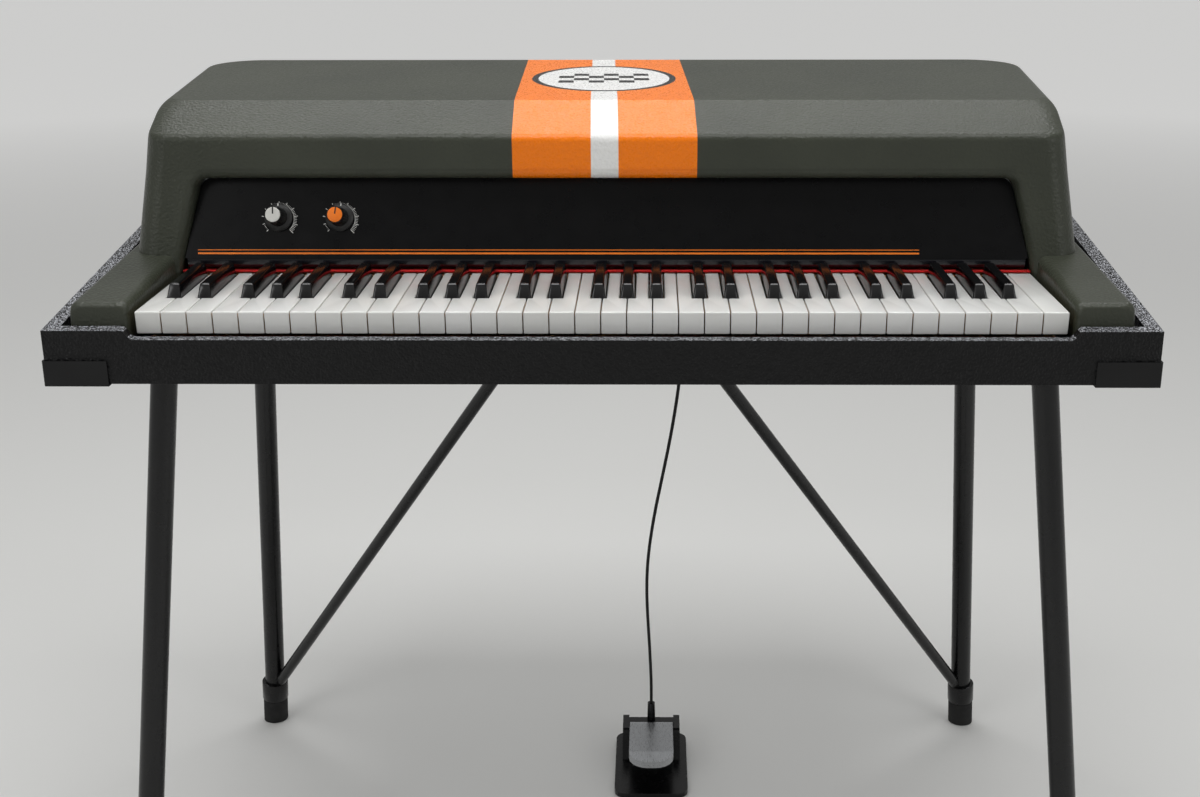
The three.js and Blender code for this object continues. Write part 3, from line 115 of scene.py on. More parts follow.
class Look(Nodes):
    """A material under construction."""

    def __init__(self, name, color, roughness, metallic=0.0, specular=0.5):
        self.material = bpy.data.materials.new(name)
        self.material.use_nodes = True
        super().__init__(self.material.node_tree)
        self.inputs = self.tree.nodes["Principled BSDF"].inputs
        self.inputs["Base Color"].default_value = color
        self.inputs["Roughness"].default_value = roughness
        self.inputs["Metallic"].default_value = metallic
        self.inputs["Specular IOR Level"].default_value = specular
        self.place = self.node("ShaderNodeTexCoord")["Object"]

    def stretch(self, scale):
        return self.node("ShaderNodeMapping", {"Vector": self.place, "Scale": scale})[0]

    def noise(self, scale, detail=3.0, roughness=0.5, vector=None):
        return self.node("ShaderNodeTexNoise", {"Vector": vector or self.place, "Scale": scale,
                                                "Detail": detail, "Roughness": roughness})["Fac"]

    def pebbles(self, scale):
        return self.node("ShaderNodeTexVoronoi", {"Vector": self.place, "Scale": scale, "Smoothness": 0.6},
                         feature="SMOOTH_F1")["Distance"]

    def mix(self, share, first, second):
        return self.node("ShaderNodeMix", {0: share, 6: first, 7: second}, data_type="RGBA")[2]

    def color(self, value):
        self.feed(self.inputs["Base Color"], value)

    def roughness(self, value):
        self.feed(self.inputs["Roughness"], value)

    def bump(self, height, distance, strength=1.0):
        bump = self.node("ShaderNodeBump", {"Height": height, "Distance": distance, "Strength": strength})
        self.feed(self.inputs["Normal"], bump[0])


FLOOR_COLOR = srgb(226, 226, 224)
FLOOR_GLOW = srgb(250, 250, 250)
PALE_FROM, PALE_TO = 1.2, 7.0
PALE_STRENGTH = 0.36

SHELL_COLOR = srgb(60, 63, 53)
SHELL_SHADE = srgb(54, 57, 48)
ORANGE = srgb(246, 124, 0)
WHITE = srgb(232, 232, 230)
BLACK = srgb(14, 14, 14)

# The artwork on the hood: lengths in metres, places (_Y and _Z) in the drawing frame
STRIPE_HALF = 0.0905
STRIPE_CENTRE_HALF = 0.0135
STRIPE_DRIFT = -0.031
STRIPE_BEND_Y = 157
ROUNDEL_Y = 375.0
ROUNDEL_HALF = (0.079, 0.097)
ROUNDEL_WHITE = (0.072, 0.0895)
ROUNDEL_ABOVE_Z = 150
CHECK = (0.0165, 0.0175)
CHECK_COLUMNS = 6
CHECK_ROWS = 4
SHELL_SPECULAR = 0.3
VINYL_SPECULAR = 0.1
VINYL_SMOOTHER = 0.08

# Painted highlight: how far up a face must tilt, and the pale colour painted there in specks as glints on the
# tolex
PAINTED_GLINT_UPWARD = 0.6
PAINTED_GLINT_COLOR = srgb(188, 190, 196)


def floor_look(name):
    """Matt pale floor that a camera, gloss or glass sees turn paler well away from the piano."""
    look = Look(name, FLOOR_COLOR, 0.7, 0.0, 0.1)
    x, y = look.split(look.place)[:2]
    away = look.math("SQRT", look.math("ADD", look.math("POWER", x, 2.0), look.math("POWER", y, 2.0)))
    path = look.node("ShaderNodeLightPath")
    seen = look.math("ADD", path["Is Camera Ray"], path["Is Glossy Ray"])
    seen = look.math("ADD", seen, path["Is Transmission Ray"], True)
    pale = look.ramp(away, PALE_FROM, PALE_TO, 0.0, PALE_STRENGTH)
    look.inputs["Emission Color"].default_value = FLOOR_GLOW
    look.feed(look.inputs["Emission Strength"], look.math("MULTIPLY", pale, seen))
    return look.material


def shell_look(name):
    """Satin green-grey moulding with a fine pebble, the racing stripe and its chequered roundel."""
    look = Look(name, SHELL_COLOR, 0.38, 0.0, SHELL_SPECULAR)
    base = look.mix(look.ramp(look.noise(9.0), 0.35, 0.65, 0.0, 1.0), SHELL_COLOR, SHELL_SHADE)
    x, y, z = look.split(look.place)
    behind = look.math("MAXIMUM", look.math("SUBTRACT", y, row(0, STRIPE_BEND_Y, 0).y), 0.0)
    x = look.math("SUBTRACT", x, look.math("MULTIPLY", behind, STRIPE_DRIFT))
    across = look.math("ABSOLUTE", x)
    along = look.math("SUBTRACT", y, row(0, ROUNDEL_Y, 0).y)
    def oval(halves):
        first = look.math("POWER", look.math("DIVIDE", across, halves[0]), 2.0)
        second = look.math("POWER", look.math("DIVIDE", along, halves[1]), 2.0)
        return look.math("LESS_THAN", look.math("ADD", first, second), 1.0)
    base = look.mix(look.math("LESS_THAN", across, STRIPE_HALF), base, ORANGE)
    base = look.mix(look.math("LESS_THAN", across, STRIPE_CENTRE_HALF), base, WHITE)
    top = look.math("GREATER_THAN", z, row(0, 0, ROUNDEL_ABOVE_Z).z)
    base = look.mix(look.math("MULTIPLY", top, oval(ROUNDEL_HALF)), base, BLACK)
    base = look.mix(look.math("MULTIPLY", top, oval(ROUNDEL_WHITE)), base, WHITE)
    column = look.math("FLOOR", look.math("DIVIDE", x, CHECK[0]))
    line = look.math("FLOOR", look.math("DIVIDE", along, CHECK[1]))
    odd = look.math("PINGPONG", look.math("ADD", column, line), 1.0)
    inside = look.math("MULTIPLY", look.math("LESS_THAN", across, CHECK[0] * CHECK_COLUMNS / 2),
                       look.math("LESS_THAN", look.math("ABSOLUTE", along), CHECK[1] * CHECK_ROWS / 2))
    base = look.mix(look.math("MULTIPLY", look.math("MULTIPLY", inside, odd), top), base, BLACK)
    look.color(base)
    grain = look.noise(420.0, 2.0, 0.55)
    vinyl = look.math("LESS_THAN", across, STRIPE_HALF)
    satin = look.ramp(grain, 0.3, 0.7, 0.32, 0.42)
    look.roughness(look.math("SUBTRACT", satin, look.math("MULTIPLY", vinyl, VINYL_SMOOTHER)))
    gloss = look.math("ADD", look.math("MULTIPLY", vinyl, VINYL_SPECULAR), SHELL_SPECULAR)
    look.feed(look.inputs["Specular IOR Level"], gloss)
    pebble = look.math("MULTIPLY", look.pebbles(330.0), 0.7)
    look.bump(look.math("ADD", look.math("MULTIPLY", grain, 0.7), pebble), 0.0006, 0.8)
    return look.material


def tolex_look():
    """Black grained covering with painted highlights: pale specks painted into the colour of its upward faces
    as glints.
    """
    look = Look("tolex", BLACK, 0.4, 0.0, 0.25)
    fine = look.math("MULTIPLY", look.noise(300.0, 3.0), 0.6)
    grain = look.math("ADD", look.math("MULTIPLY", look.pebbles(480.0), 0.8), fine)
    base = look.mix(look.ramp(grain, 0.4, 0.8, 0.0, 1.0), srgb(13, 13, 14), srgb(5, 5, 6))
    normal = look.split(look.node("ShaderNodeNewGeometry")["Normal"])
    upward = look.math("GREATER_THAN", normal[2], PAINTED_GLINT_UPWARD)
    # Painted highlight: pale specks painted into the colour of upward faces, standing in for glints of light
    painted_glints = look.math("MULTIPLY", upward, look.ramp(look.noise(640.0, 2.0, 0.7), 0.51, 0.56, 0.0, 0.9))
    look.color(look.mix(painted_glints, base, PAINTED_GLINT_COLOR))
    look.roughness(look.ramp(look.noise(40.0), 0.3, 0.7, 0.36, 0.42))
    look.bump(grain, 0.0012, 1.0)
    return look.material


def plain_look(name, color, shade, roughness, spread, scale, distance, strength, specular=0.5):
    """Two eight-bit colours and a roughness that drift a little, with a fine bump."""
    look = Look(name, srgb(*color), roughness, 0.0, specular)
    drift = look.noise(scale, 4.0)
    look.color(look.mix(look.ramp(drift, 0.35, 0.65, 0.0, 1.0), srgb(*color), srgb(*shade)))
    look.roughness(look.ramp(look.noise(scale * 2.3, 3.0), 0.3, 0.7, roughness - spread, roughness + spread))
    look.bump(look.noise(scale * 12, 2.0), distance, strength)
    return look.material


def wood_look(name, light, dark):
    """Wood with its grain along the keys."""
    look = Look(name, light, 0.6)
    rings = look.noise(1.0, 5.0, 0.6, look.stretch((160.0, 6.0, 160.0)))
    look.color(look.mix(look.ramp(rings, 0.35, 0.65, 0.0, 1.0), light, dark))
    look.roughness(look.ramp(rings, 0.3, 0.7, 0.5, 0.68))
    look.bump(rings, 0.0003, 0.4)
    return look.material


def brushed_look(name, color, roughness, scale):
    """Metal with fine lines; scale stretches them."""
    look = Look(name, color, roughness, 1.0)
    lines = look.noise(1.0, 3.0, 0.6, look.stretch(scale))
    look.roughness(look.ramp(lines, 0.3, 0.7, roughness - 0.08, roughness + 0.1))
    look.bump(lines, 0.0001, 0.3)
    return look.material


SHELL = shell_look("shell")
TOLEX = tolex_look()
PANEL = plain_look("panel_black", (9, 9, 10), (7, 7, 8), 0.3, 0.04, 30.0, 0.00002, 0.05, 0.2)
IVORY = plain_look("ivory", (232, 232, 230), (226, 226, 222), 0.16, 0.03, 8.0, 0.00002, 0.2)
# Painted reflection: a bluish grey lighter than the panel, painted on the lip's lower faces for the white
# keys reflected there
LIP_REFLECTION = plain_look("panel_lip_painted_reflection", (24, 25, 30), (20, 21, 26), 0.24, 0.03, 30.0, 0.00002, 0.1)
EBONY = plain_look("ebony", (9, 9, 10), (7, 7, 8), 0.17, 0.03, 20.0, 0.00002, 0.2, 0.7)
FELT = plain_look("felt_red", (205, 16, 13), (172, 11, 9), 0.92, 0.05, 260.0, 0.0006, 0.8)
EDGE_STEEL = plain_look("edge_steel", (14, 14, 15), (10, 10, 11), 0.2, 0.04, 26.0, 0.00004, 0.2, 0.3)
ENAMEL = plain_look("black_enamel", (11, 11, 12), (8, 8, 9), 0.26, 0.04, 26.0, 0.00008, 0.25, 0.4)
RUBBER = plain_look("rubber", (21, 21, 21), (15, 15, 15), 0.78, 0.06, 60.0, 0.0002, 0.4)
KNOB_BLACK = plain_look("knob_black", (18, 18, 18), (14, 14, 14), 0.38, 0.05, 90.0, 0.00005, 0.3)
CAP_GREY = plain_look("cap_grey", (206, 205, 200), (196, 195, 190), 0.42, 0.05, 90.0, 0.00005, 0.2)
CAP_ORANGE = plain_look("cap_orange", (238, 122, 12), (228, 112, 8), 0.42, 0.05, 90.0, 0.00005, 0.2)
PAINT_ORANGE = plain_look("print_orange", (236, 122, 20), (226, 112, 14), 0.4, 0.05, 60.0, 0.00003, 0.2)
PAINT_WHITE = plain_look("print_white", (225, 225, 222), (214, 214, 210), 0.4, 0.05, 60.0, 0.00003, 0.2)
PLASTIC = plain_look("moulded_black", (20, 20, 20), (15, 15, 15), 0.45, 0.06, 70.0, 0.00008, 0.3)
BOARD = plain_look("circuit_board", (26, 92, 52), (22, 78, 44), 0.4, 0.05, 70.0, 0.00008, 0.3)
WOOD = wood_look("key_wood", srgb(214, 178, 128), srgb(186, 144, 92))
STEEL = brushed_look("steel", srgb(188, 190, 193), 0.3, (900.0, 60.0, 900.0))
ALUMINIUM = brushed_look("aluminium", srgb(205, 207, 210), 0.36, (40.0, 900.0, 900.0))
FLOOR = floor_look("floor")


# Mesh tools, all in the drawing frame
WELD = 0.001
OVERRUN = 5  # how far a cutter passes the ends of what it cuts
WIDE = 600  # half width of a cutter that spans the whole case


def rounded(corners, radii, steps):
    """An outline with arcs at its corners. A radius of 0 leaves the corner sharp."""
    outline = []
    count = len(corners)
    for i, corner in enumerate(corners):
        here = Vector(corner)
        if radii[i] == 0:
            outline.append(here)
            continue
        back = (Vector(corners[i - 1]) - here).normalized()
        on = (Vector(corners[(i + 1) % count]) - here).normalized()
        half = math.acos(max(-1.0, min(1.0, back.dot(on)))) / 2
        centre = here + (back + on).normalized() * (radii[i] / math.sin(half))
        reach = radii[i] / math.tan(half)
        first = here + back * reach - centre
        last = here + on * reach - centre
        sweep = math.atan2(first.x * last.y - first.y * last.x, first.dot(last))
        for step in range(steps + 1):
            turn = sweep * step / steps
            outline.append(centre + Vector((
                first.x * math.cos(turn) - first.y * math.sin(turn),
                first.x * math.sin(turn) + first.y * math.cos(turn),
            )))
    return outline


def rectangle(x, y):
    """The four corners between two limits in each axis."""
    return [(x[0], y[0]), (x[1], y[0]), (x[1], y[1]), (x[0], y[1])]


def loft(rings):
    """Skin over rings with equal counts of points, capped at both ends."""
    solid = bmesh.new()
    rows = [[solid.verts.new(point) for point in ring] for ring in rings]
    for low, high in zip(rows, rows[1:]):
        for i in range(len(low)):
            j = (i + 1) % len(low)
            solid.faces.new((low[i], low[j], high[j], high[i]))
    solid.faces.new(rows[0][::-1])
    solid.faces.new(rows[-1])
    bmesh.ops.remove_doubles(solid, verts=solid.verts, dist=WELD)
    bmesh.ops.recalc_face_normals(solid, faces=solid.faces)
    return solid


def prism(outline, axis, low, high):
    """Prism of an outline given in the other two axes, in x, y, z order."""
    def point(pair, level):
        a, b = pair
        return {"x": (level, a, b), "y": (a, level, b), "z": (a, b, level)}[axis]
    return loft([[point(pair, low) for pair in outline], [point(pair, high) for pair in outline]])


def box(x, y, z):
    """A box between two limits in each axis."""
    return prism(rectangle(x, y), "z", z[0], z[1])


def rod(start, end, radius, sides=40):
    """A round rod between two points."""
    start, end = Vector(start), Vector(end)
    turn = (end - start).to_track_quat("Z", "Y")
    def ring(centre):
        return [centre + turn @ Vector((radius * math.cos(a), radius * math.sin(a), 0))
                for a in (2 * math.pi * i / sides for i in range(sides))]
    return loft([ring(start), ring(end)])


def turned(profile, sides=48):
    """Closed body of revolution about z from [radius, z] points that start and end on the axis."""
    solid = bmesh.new()
    rows = []
    for radius, z in profile:
        if radius == 0:
            rows.append([solid.verts.new((0, 0, z))])
        else:
            rows.append([solid.verts.new((radius * math.cos(a), radius * math.sin(a), z))
                         for a in (2 * math.pi * i / sides for i in range(sides))])
    for low, high in zip(rows, rows[1:]):
        for i in range(sides):
            j = (i + 1) % sides
            ring = [low[i % len(low)], low[j % len(low)], high[j % len(high)], high[i % len(high)]]
            solid.faces.new(list(dict.fromkeys(ring)))
    bmesh.ops.recalc_face_normals(solid, faces=solid.faces)
    return solid


def bevelled(solid, width, segments=2, angle=30.0, where=None):
    """The body with its sharp edges rounded; where picks among them."""
    edges = [edge for edge in solid.edges
             if len(edge.link_faces) == 2 and edge.calc_face_angle() > math.radians(angle)
             and (where is None or where(edge))]
    bmesh.ops.bevel(solid, geom=edges, offset=width, segments=segments, profile=0.5,
                    affect="EDGES", clamp_overlap=True)
    return solid


def merged(parts):
    """Several bodies in one mesh, not fused."""
    whole = bmesh.new()
    for part in parts:
        scrap = bpy.data.meshes.new("scrap")
        part.to_mesh(scrap)
        whole.from_mesh(scrap)
        bpy.data.meshes.remove(scrap)
        part.free()
    return whole


def scratch(solid):
    """A body as an object for a boolean, removed again after it."""
    mesh = bpy.data.meshes.new("scratch")
    solid.to_mesh(mesh)
    made = bpy.data.objects.new("scratch", mesh)
    bpy.context.scene.collection.objects.link(made)
    return made


def boolean(solid, cutter, operation):
    """The boolean of two closed bodies."""
    first, second = scratch(solid), scratch(cutter)
    change = first.modifiers.new("boolean", "BOOLEAN")
    change.object = second
    change.operation = operation
    change.solver = "MANIFOLD"
    bpy.context.view_layer.update()
    graph = bpy.context.evaluated_depsgraph_get()
    result = bpy.data.meshes.new_from_object(first.evaluated_get(graph))
    made = bmesh.new()
    made.from_mesh(result)
    for scrap in (first, second):
        mesh = scrap.data
        bpy.data.objects.remove(scrap)
        bpy.data.meshes.remove(mesh)
    bpy.data.meshes.remove(result)
    solid.free()
    cutter.free()
    return made


def cut(solid, *cutters):
    """The body without the cutters."""
    for cutter in cutters:
        solid = boolean(solid, cutter, "DIFFERENCE")
    return solid


def fused(first, *others):
    """Bodies joined into one."""
    for other in others:
        first = boolean(first, other, "UNION")
    return first


def moved(solid, matrix):
    """The same body after a change of place."""
    bmesh.ops.transform(solid, matrix=matrix, verts=solid.verts)
    return solid


def mirror(solid):
    """The body reflected in x."""
    other = solid.copy()
    bmesh.ops.transform(other, matrix=Matrix.Scale(-1, 4, (1, 0, 0)), verts=other.verts)
    bmesh.ops.reverse_faces(other, faces=other.faces)
    return other


TO_ROW = Matrix.Translation(row(0, 0, 0)) @ Matrix.Scale(MM, 4)
SCREW_PROFILE = [(0, -1.9), (2.2, -1.7), (3.6, -0.9), (4, 0), (4, 1), (0, 1)]


def screw_heads(places):
    """Domed heads under the case, each given by the place of its rim's centre."""
    return merged([moved(turned(SCREW_PROFILE, 24), Matrix.Translation(place)) for place in places])


def piece(name, solid, body, materials, replaces=(), smooth=35.0, place=None, weighted=False):
    """Puts a body into the row frame as a piece that rides on a CAD body."""
    moved(solid, TO_ROW @ place if place else TO_ROW)
    mesh = bpy.data.meshes.new(name)
    solid.to_mesh(mesh)
    solid.free()
    for material in materials:
        mesh.materials.append(material)
    mesh.shade_smooth()
    mesh.set_sharp_from_angle(angle=math.radians(smooth))
    made = bpy.data.objects.new(name, mesh)
    bpy.context.scene.collection.objects.link(made)
    if weighted:
        made.modifiers.new("normals", "WEIGHTED_NORMAL").keep_sharp = True
    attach(made, body)
    if replaces:
        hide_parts(*replaces)


NEARLY_FLAT = math.radians(0.5)


def dress(node, material, bevel=0.0, segments=2, smooth=35.0):
    """Keeps a CAD node and gives it its finish and softened edges."""
    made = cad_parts[node]
    for entry in made.material_slots:
        entry.material = material
    if not made.material_slots:
        made.data.materials.append(material)
    if bevel:
        flat = made.modifiers.new("flat", "DECIMATE")
        flat.decimate_type = "DISSOLVE"
        flat.angle_limit = NEARLY_FLAT
        soft = made.modifiers.new("soft", "BEVEL")
        soft.width = bevel * MM
        soft.segments = segments
        soft.limit_method = "ANGLE"
        soft.angle_limit = math.radians(smooth)


# Pedal cable
CABLE_DIAMETER = 0.004
CABLE_ROUTE = [
    (46.5, 462, -655.2), (46.5, 462, -645), (46.3, 460.5, -625), (45.5, 456, -600),
    (44.3, 450, -570), (42.8, 444.5, -540), (41.4, 439, -510), (40.6, 434, -480),
    (41.2, 429.5, -450), (43.2, 425.5, -422), (46.8, 422, -392), (51.4, 418.5, -362),
    (56.8, 415, -332), (62.4, 412, -302), (67.8, 409.5, -272), (72.6, 407, -242),
    (76.8, 405, -212), (80.2, 403.6, -182), (82.8, 402.6, -152), (84.2, 402.1, -122),
    (84.6, 402, -98), (84.6, 402, -82.8),
]


def spline_tube(name, points, radius, body, material):
    """A tube on a smooth curve through the points, which are in the row frame."""
    curve = bpy.data.curves.new(name, "CURVE")
    curve.dimensions = "3D"
    curve.bevel_depth = radius
    curve.bevel_resolution = 4
    curve.use_fill_caps = True
    spline = curve.splines.new("BEZIER")
    spline.bezier_points.add(len(points) - 1)
    for knot, point in zip(spline.bezier_points, points):
        knot.co = point
        knot.handle_left_type = knot.handle_right_type = "AUTO"
    curve.resolution_u = 6
    curve.materials.append(material)
    made = bpy.data.objects.new(name, curve)
    bpy.context.scene.collection.objects.link(made)
    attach(made, body)
    return made


cable_points = [row(*point) for point in CABLE_ROUTE]
cable = spline_tube("pedal_cable_sleeve", cable_points, CABLE_DIAMETER / 2, "case", RUBBER)
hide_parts("pedal_cable")

# Hood
SKIN = 4
FACE_LINE = 157
LIP_HEIGHT = 98
FOOT_LEAN = 0.12
LOWER_CREASE = 135
UPPER_CREASE_LINE = 223
UPPER_CREASE = 163
TOP_RISE = 10
REAR_TOP = 539
REAR_FOOT = 549
REAR_FOOT_HEIGHT = 20
HALF_FRONT = 473.2
DRAFT_FRONT = 0.16
HALF_REAR = 489.9
DRAFT_REAR = 0.028
FRONT_STATION = 174
LOWER_RADIUS = 8
UPPER_RADIUS = 14
EDGE_RADIUS = 13
FRONT_CORNER = 24
REAR_CORNER = 52
OPENING_TOP = 93
OPENING_HALF = 402
OPENING_DRAFT = 0.235
OPENING_CORNER = 14
OPENING_ROLL = 10  # radius of the edge rolled in towards the panel
FLANGE_REAR = 182
ARM_FRONT = -2
ARM_REAR = 200
ARM_INNER = 428
ARM_OUTER = 485
ARM_DRAFT = 0.05
ARM_TOP = 8
ARM_RISE = 0.072
ARM_EDGE = 8
CASE_BOTTOM = -63.5
CASE_FRONT = -16
CASE_DEPTH = 581
RIM_FRONT = -13.6
RIM_REAR = 56.6
LEDGE_DROP = 14
SEAT = 0.3  # gap between a piece and what carries it
FAR = 20  # how far a cutter reaches past what it cuts
LEVEL_STEP = 0.2  # the least step between two levels
SHEAR = TOP_RISE / (REAR_TOP - UPPER_CREASE_LINE)


def ledge_at(y):
    """Height of the case's ledge, which the hood and its arms stand on."""
    return RIM_FRONT + (y - CASE_FRONT) * (RIM_REAR - RIM_FRONT) / CASE_DEPTH - LEDGE_DROP


def level_of(y, z):
    """Height in the hood's own levels, which rise with its top towards the rear."""
    return z - SHEAR * (y - UPPER_CREASE_LINE)


LIP_LEVEL = level_of(FACE_LINE, LIP_HEIGHT)
PROFILE_CORNERS = [
    (FACE_LINE, LIP_LEVEL),
    (FACE_LINE, level_of(FACE_LINE, LOWER_CREASE)),
    (UPPER_CREASE_LINE, UPPER_CREASE),
    (REAR_TOP, UPPER_CREASE),
]
FRONT_PROFILE = [Vector((FACE_LINE - FOOT_LEAN * (LIP_LEVEL - CASE_BOTTOM), CASE_BOTTOM))]
FRONT_PROFILE += rounded(PROFILE_CORNERS, [0, LOWER_RADIUS, UPPER_RADIUS, 0], 6)[:-1]


def front_at(level):
    """The hood's front line at one of its own levels."""
    before = FRONT_PROFILE[0]
    for point in FRONT_PROFILE:
        if level <= point.y:
            if point.y == before.y:
                return point.x
            return before.x + (level - before.y) / (point.y - before.y) * (point.x - before.x)
        before = point
    return before.x


def edge_inset(level):
    """How far the arc round the top's edge draws the outline in."""
    up = level - (UPPER_CREASE - EDGE_RADIUS)
    return EDGE_RADIUS - math.sqrt(max(0.0, EDGE_RADIUS ** 2 - up ** 2)) if up > 0 else 0.0


def half_at(y, level):
    """Half the hood's width."""
    front = HALF_FRONT - DRAFT_FRONT * level
    rear = HALF_REAR - DRAFT_REAR * level
    return front + (y - FRONT_STATION) / (REAR_FOOT - FRONT_STATION) * (rear - front)


def rear_at(level):
    """The hood's rear line."""
    return REAR_FOOT + (level - REAR_FOOT_HEIGHT) / (UPPER_CREASE - REAR_FOOT_HEIGHT) * (REAR_TOP - REAR_FOOT)


def hood_ring(level, skin, steps):
    """Outline of the hood at a level, or of its inside where skin is not 0."""
    outer = level + skin
    front = front_at(outer) + skin
    inset = skin + edge_inset(outer)
    rear = rear_at(outer) - inset
    half_front = half_at(front, outer) - inset
    half_rear = half_at(rear, outer) - inset
    corners = [(-half_front, front), (half_front, front), (half_rear, rear), (-half_rear, rear)]
    radii = [FRONT_CORNER - skin] * 2 + [REAR_CORNER - skin] * 2
    return [(p.x, p.y, level + SHEAR * (p.y - UPPER_CREASE_LINE)) for p in rounded(corners, radii, steps)]


def hood_levels(steps):
    """Levels of the profile's points and of the arc round the top's edge, without near doubles."""
    levels = [point.y for point in FRONT_PROFILE]
    turns = [i / steps * math.pi / 2 for i in range(steps)]
    levels += [UPPER_CREASE - EDGE_RADIUS * (1 - math.sin(turn)) for turn in turns]
    ordered = sorted(levels)
    return [level for i, level in enumerate(ordered) if i == 0 or level - ordered[i - 1] > LEVEL_STEP]


def opening_ring(y, grow, steps=10):
    """Outline of the opening for the name panel, grown by some millimetres."""
    top = OPENING_TOP + grow
    bottom = CASE_BOTTOM - FAR
    def half(z):
        return OPENING_HALF + OPENING_DRAFT * (OPENING_TOP - z) + grow
    corners = [(-half(bottom), bottom), (half(bottom), bottom), (half(top), top), (-half(top), top)]
    outline = rounded(corners, [0, 0, OPENING_CORNER + grow, OPENING_CORNER + grow], steps)
    return [(p.x, y - FOOT_LEAN * (LIP_HEIGHT - p.y), p.y) for p in outline]


def opening_cutter(steps=8):
    """Cutter of the opening, flared forwards so that its edge rolls in."""
    rings = [opening_ring(ARM_FRONT, OPENING_ROLL)]
    for i in range(steps + 1):
        turn = i / steps * math.pi / 2
        y = FACE_LINE + OPENING_ROLL * (1 - math.cos(turn))
        rings.append(opening_ring(y, OPENING_ROLL * (1 - math.sin(turn))))
    rings.append(opening_ring(FLANGE_REAR + FAR, 0))
    return loft(rings)


def arm_ring(y, skin, inset, steps):
    """Cross-section of the right arm."""
    top = ARM_TOP + ARM_RISE * (y - ARM_FRONT) - skin - inset
    left = ARM_INNER + skin + inset
    def outer(z):
        return ARM_OUTER - ARM_DRAFT * (z - CASE_BOTTOM) - skin - inset
    corners = [(left, CASE_BOTTOM), (outer(CASE_BOTTOM), CASE_BOTTOM), (outer(top), top), (left, top)]
    return [(p.x, y, p.y) for p in rounded(corners, [0, 0, ARM_EDGE - skin, ARM_EDGE - skin], steps)]


def arm_body():
    """The right arm with its rounded front end, hollow."""
    steps = 7
    rings = []
    for i in range(steps + 1):
        turn = i / steps * math.pi / 2
        y = ARM_FRONT + ARM_EDGE * (1 - math.cos(turn))
        rings.append(arm_ring(y, 0, ARM_EDGE / 2 * (1 - math.sin(turn)), 8))
    rings.append(arm_ring(ARM_REAR, 0, 0, 8))
    inside = loft([arm_ring(ARM_FRONT + SKIN, SKIN, 0, 4), arm_ring(ARM_REAR + SKIN, SKIN, 0, 4)])
    return cut(loft(rings), inside)


def hood_body():
    """Shell with the lip round its opening and two arms, open below and cut to the ledge."""
    outside = loft([hood_ring(level, 0, 12) for level in hood_levels(12)])
    inner_levels = [level - SKIN for level in hood_levels(5)]
    inner_levels[0] -= FAR
    def inside():
        return loft([hood_ring(level, SKIN, 5) for level in inner_levels])
    lip_rings = [opening_ring(FACE_LINE + SKIN / 2, SKIN), opening_ring(FLANGE_REAR, SKIN)]
    front, rear = CASE_FRONT - FAR, REAR_FOOT + FAR
    deep = CASE_BOTTOM - 2 * FAR
    def below():
        under = [(front, ledge_at(front) + SEAT), (rear, ledge_at(rear) + SEAT), (rear, deep), (front, deep)]
        return prism(under, "x", -WIDE, WIDE)
    shell = cut(fused(cut(outside, inside()), loft(lip_rings)), opening_cutter(), below())
    arm = cut(arm_body(), inside(), below())
    return fused(shell, mirror(arm), arm)


piece("hood_shell", hood_body(), "hood", [SHELL], replaces=["hood"], smooth=28, weighted=True)

# Keys
WHITE_PITCH = 23.5
WHITE_COUNT = 36
KEY_GAP = 1
WHITE_HEIGHT = 21
CAP = 2.4
FRONT_LEAN = 0.06
HEAD = 51
KEY_LENGTH = 350
TOP_LENGTH = 152
BLACK_WIDTH = 13.2
BLACK_TOP = 9.2
BLACK_HEIGHT = 12.5
BLACK_LEAN = 5.5
BLACK_CAP = 93.5
BLACK_FOOT = 8
LEVER_DROP = 2.2
LEVER_GAP = 0.2
KEY_EASE = 0.1
HAIR = 0.01
WHITE_EDGE, BLACK_EDGE, LEVER_EDGE, UNDER_EDGE = 1.1, 1.9, 0.5, 0.4
PEDESTAL_HALF, PAD_HALF = 4, 4.4
PEDESTAL_FRONT, PEDESTAL_REAR = 332, 349.7
PEDESTAL_FOOT, PEDESTAL_TOP = -1, 7.6
PAD_FRONT, PAD_REAR = 333, 349
PAD_FOOT, PAD_TOP = 7.2, 8
PEDESTAL_EDGE, PAD_EDGE = 0.6, 0.3
SHARP_SHARES = {0: -0.11, 1: 0.11, 3: -0.155, 4: 0, 5: 0.155}
LETTERS = "cdefgab"
FIRST_PLAYED, LAST_PLAYED = 14, 27
HALF_KEYBOARD = WHITE_COUNT * WHITE_PITCH / 2
BALANCE_LINE = 205


def line_beside(white):
    """The line between a natural and the next."""
    return (white + 1) * WHITE_PITCH - HALF_KEYBOARD


def has_sharp(white):
    """Whether a sharp stands to the right of a natural."""
    return 0 <= white and white + 1 < WHITE_COUNT and white % 7 in SHARP_SHARES


def sharp_centre(white):
    """Middle of the sharp to the right of a natural."""
    return line_beside(white) + SHARP_SHARES[white % 7] * WHITE_PITCH


def key_pedestal(tail):
    """The block that lifts the hammer, with its felt pad."""
    block = box((tail - PEDESTAL_HALF, tail + PEDESTAL_HALF), (PEDESTAL_FRONT, PEDESTAL_REAR),
                (PEDESTAL_FOOT, PEDESTAL_TOP))
    pad = box((tail - PAD_HALF, tail + PAD_HALF), (PAD_FRONT, PAD_REAR), (PAD_FOOT, PAD_TOP))
    return bevelled(block, PEDESTAL_EDGE), bevelled(pad, PAD_EDGE)


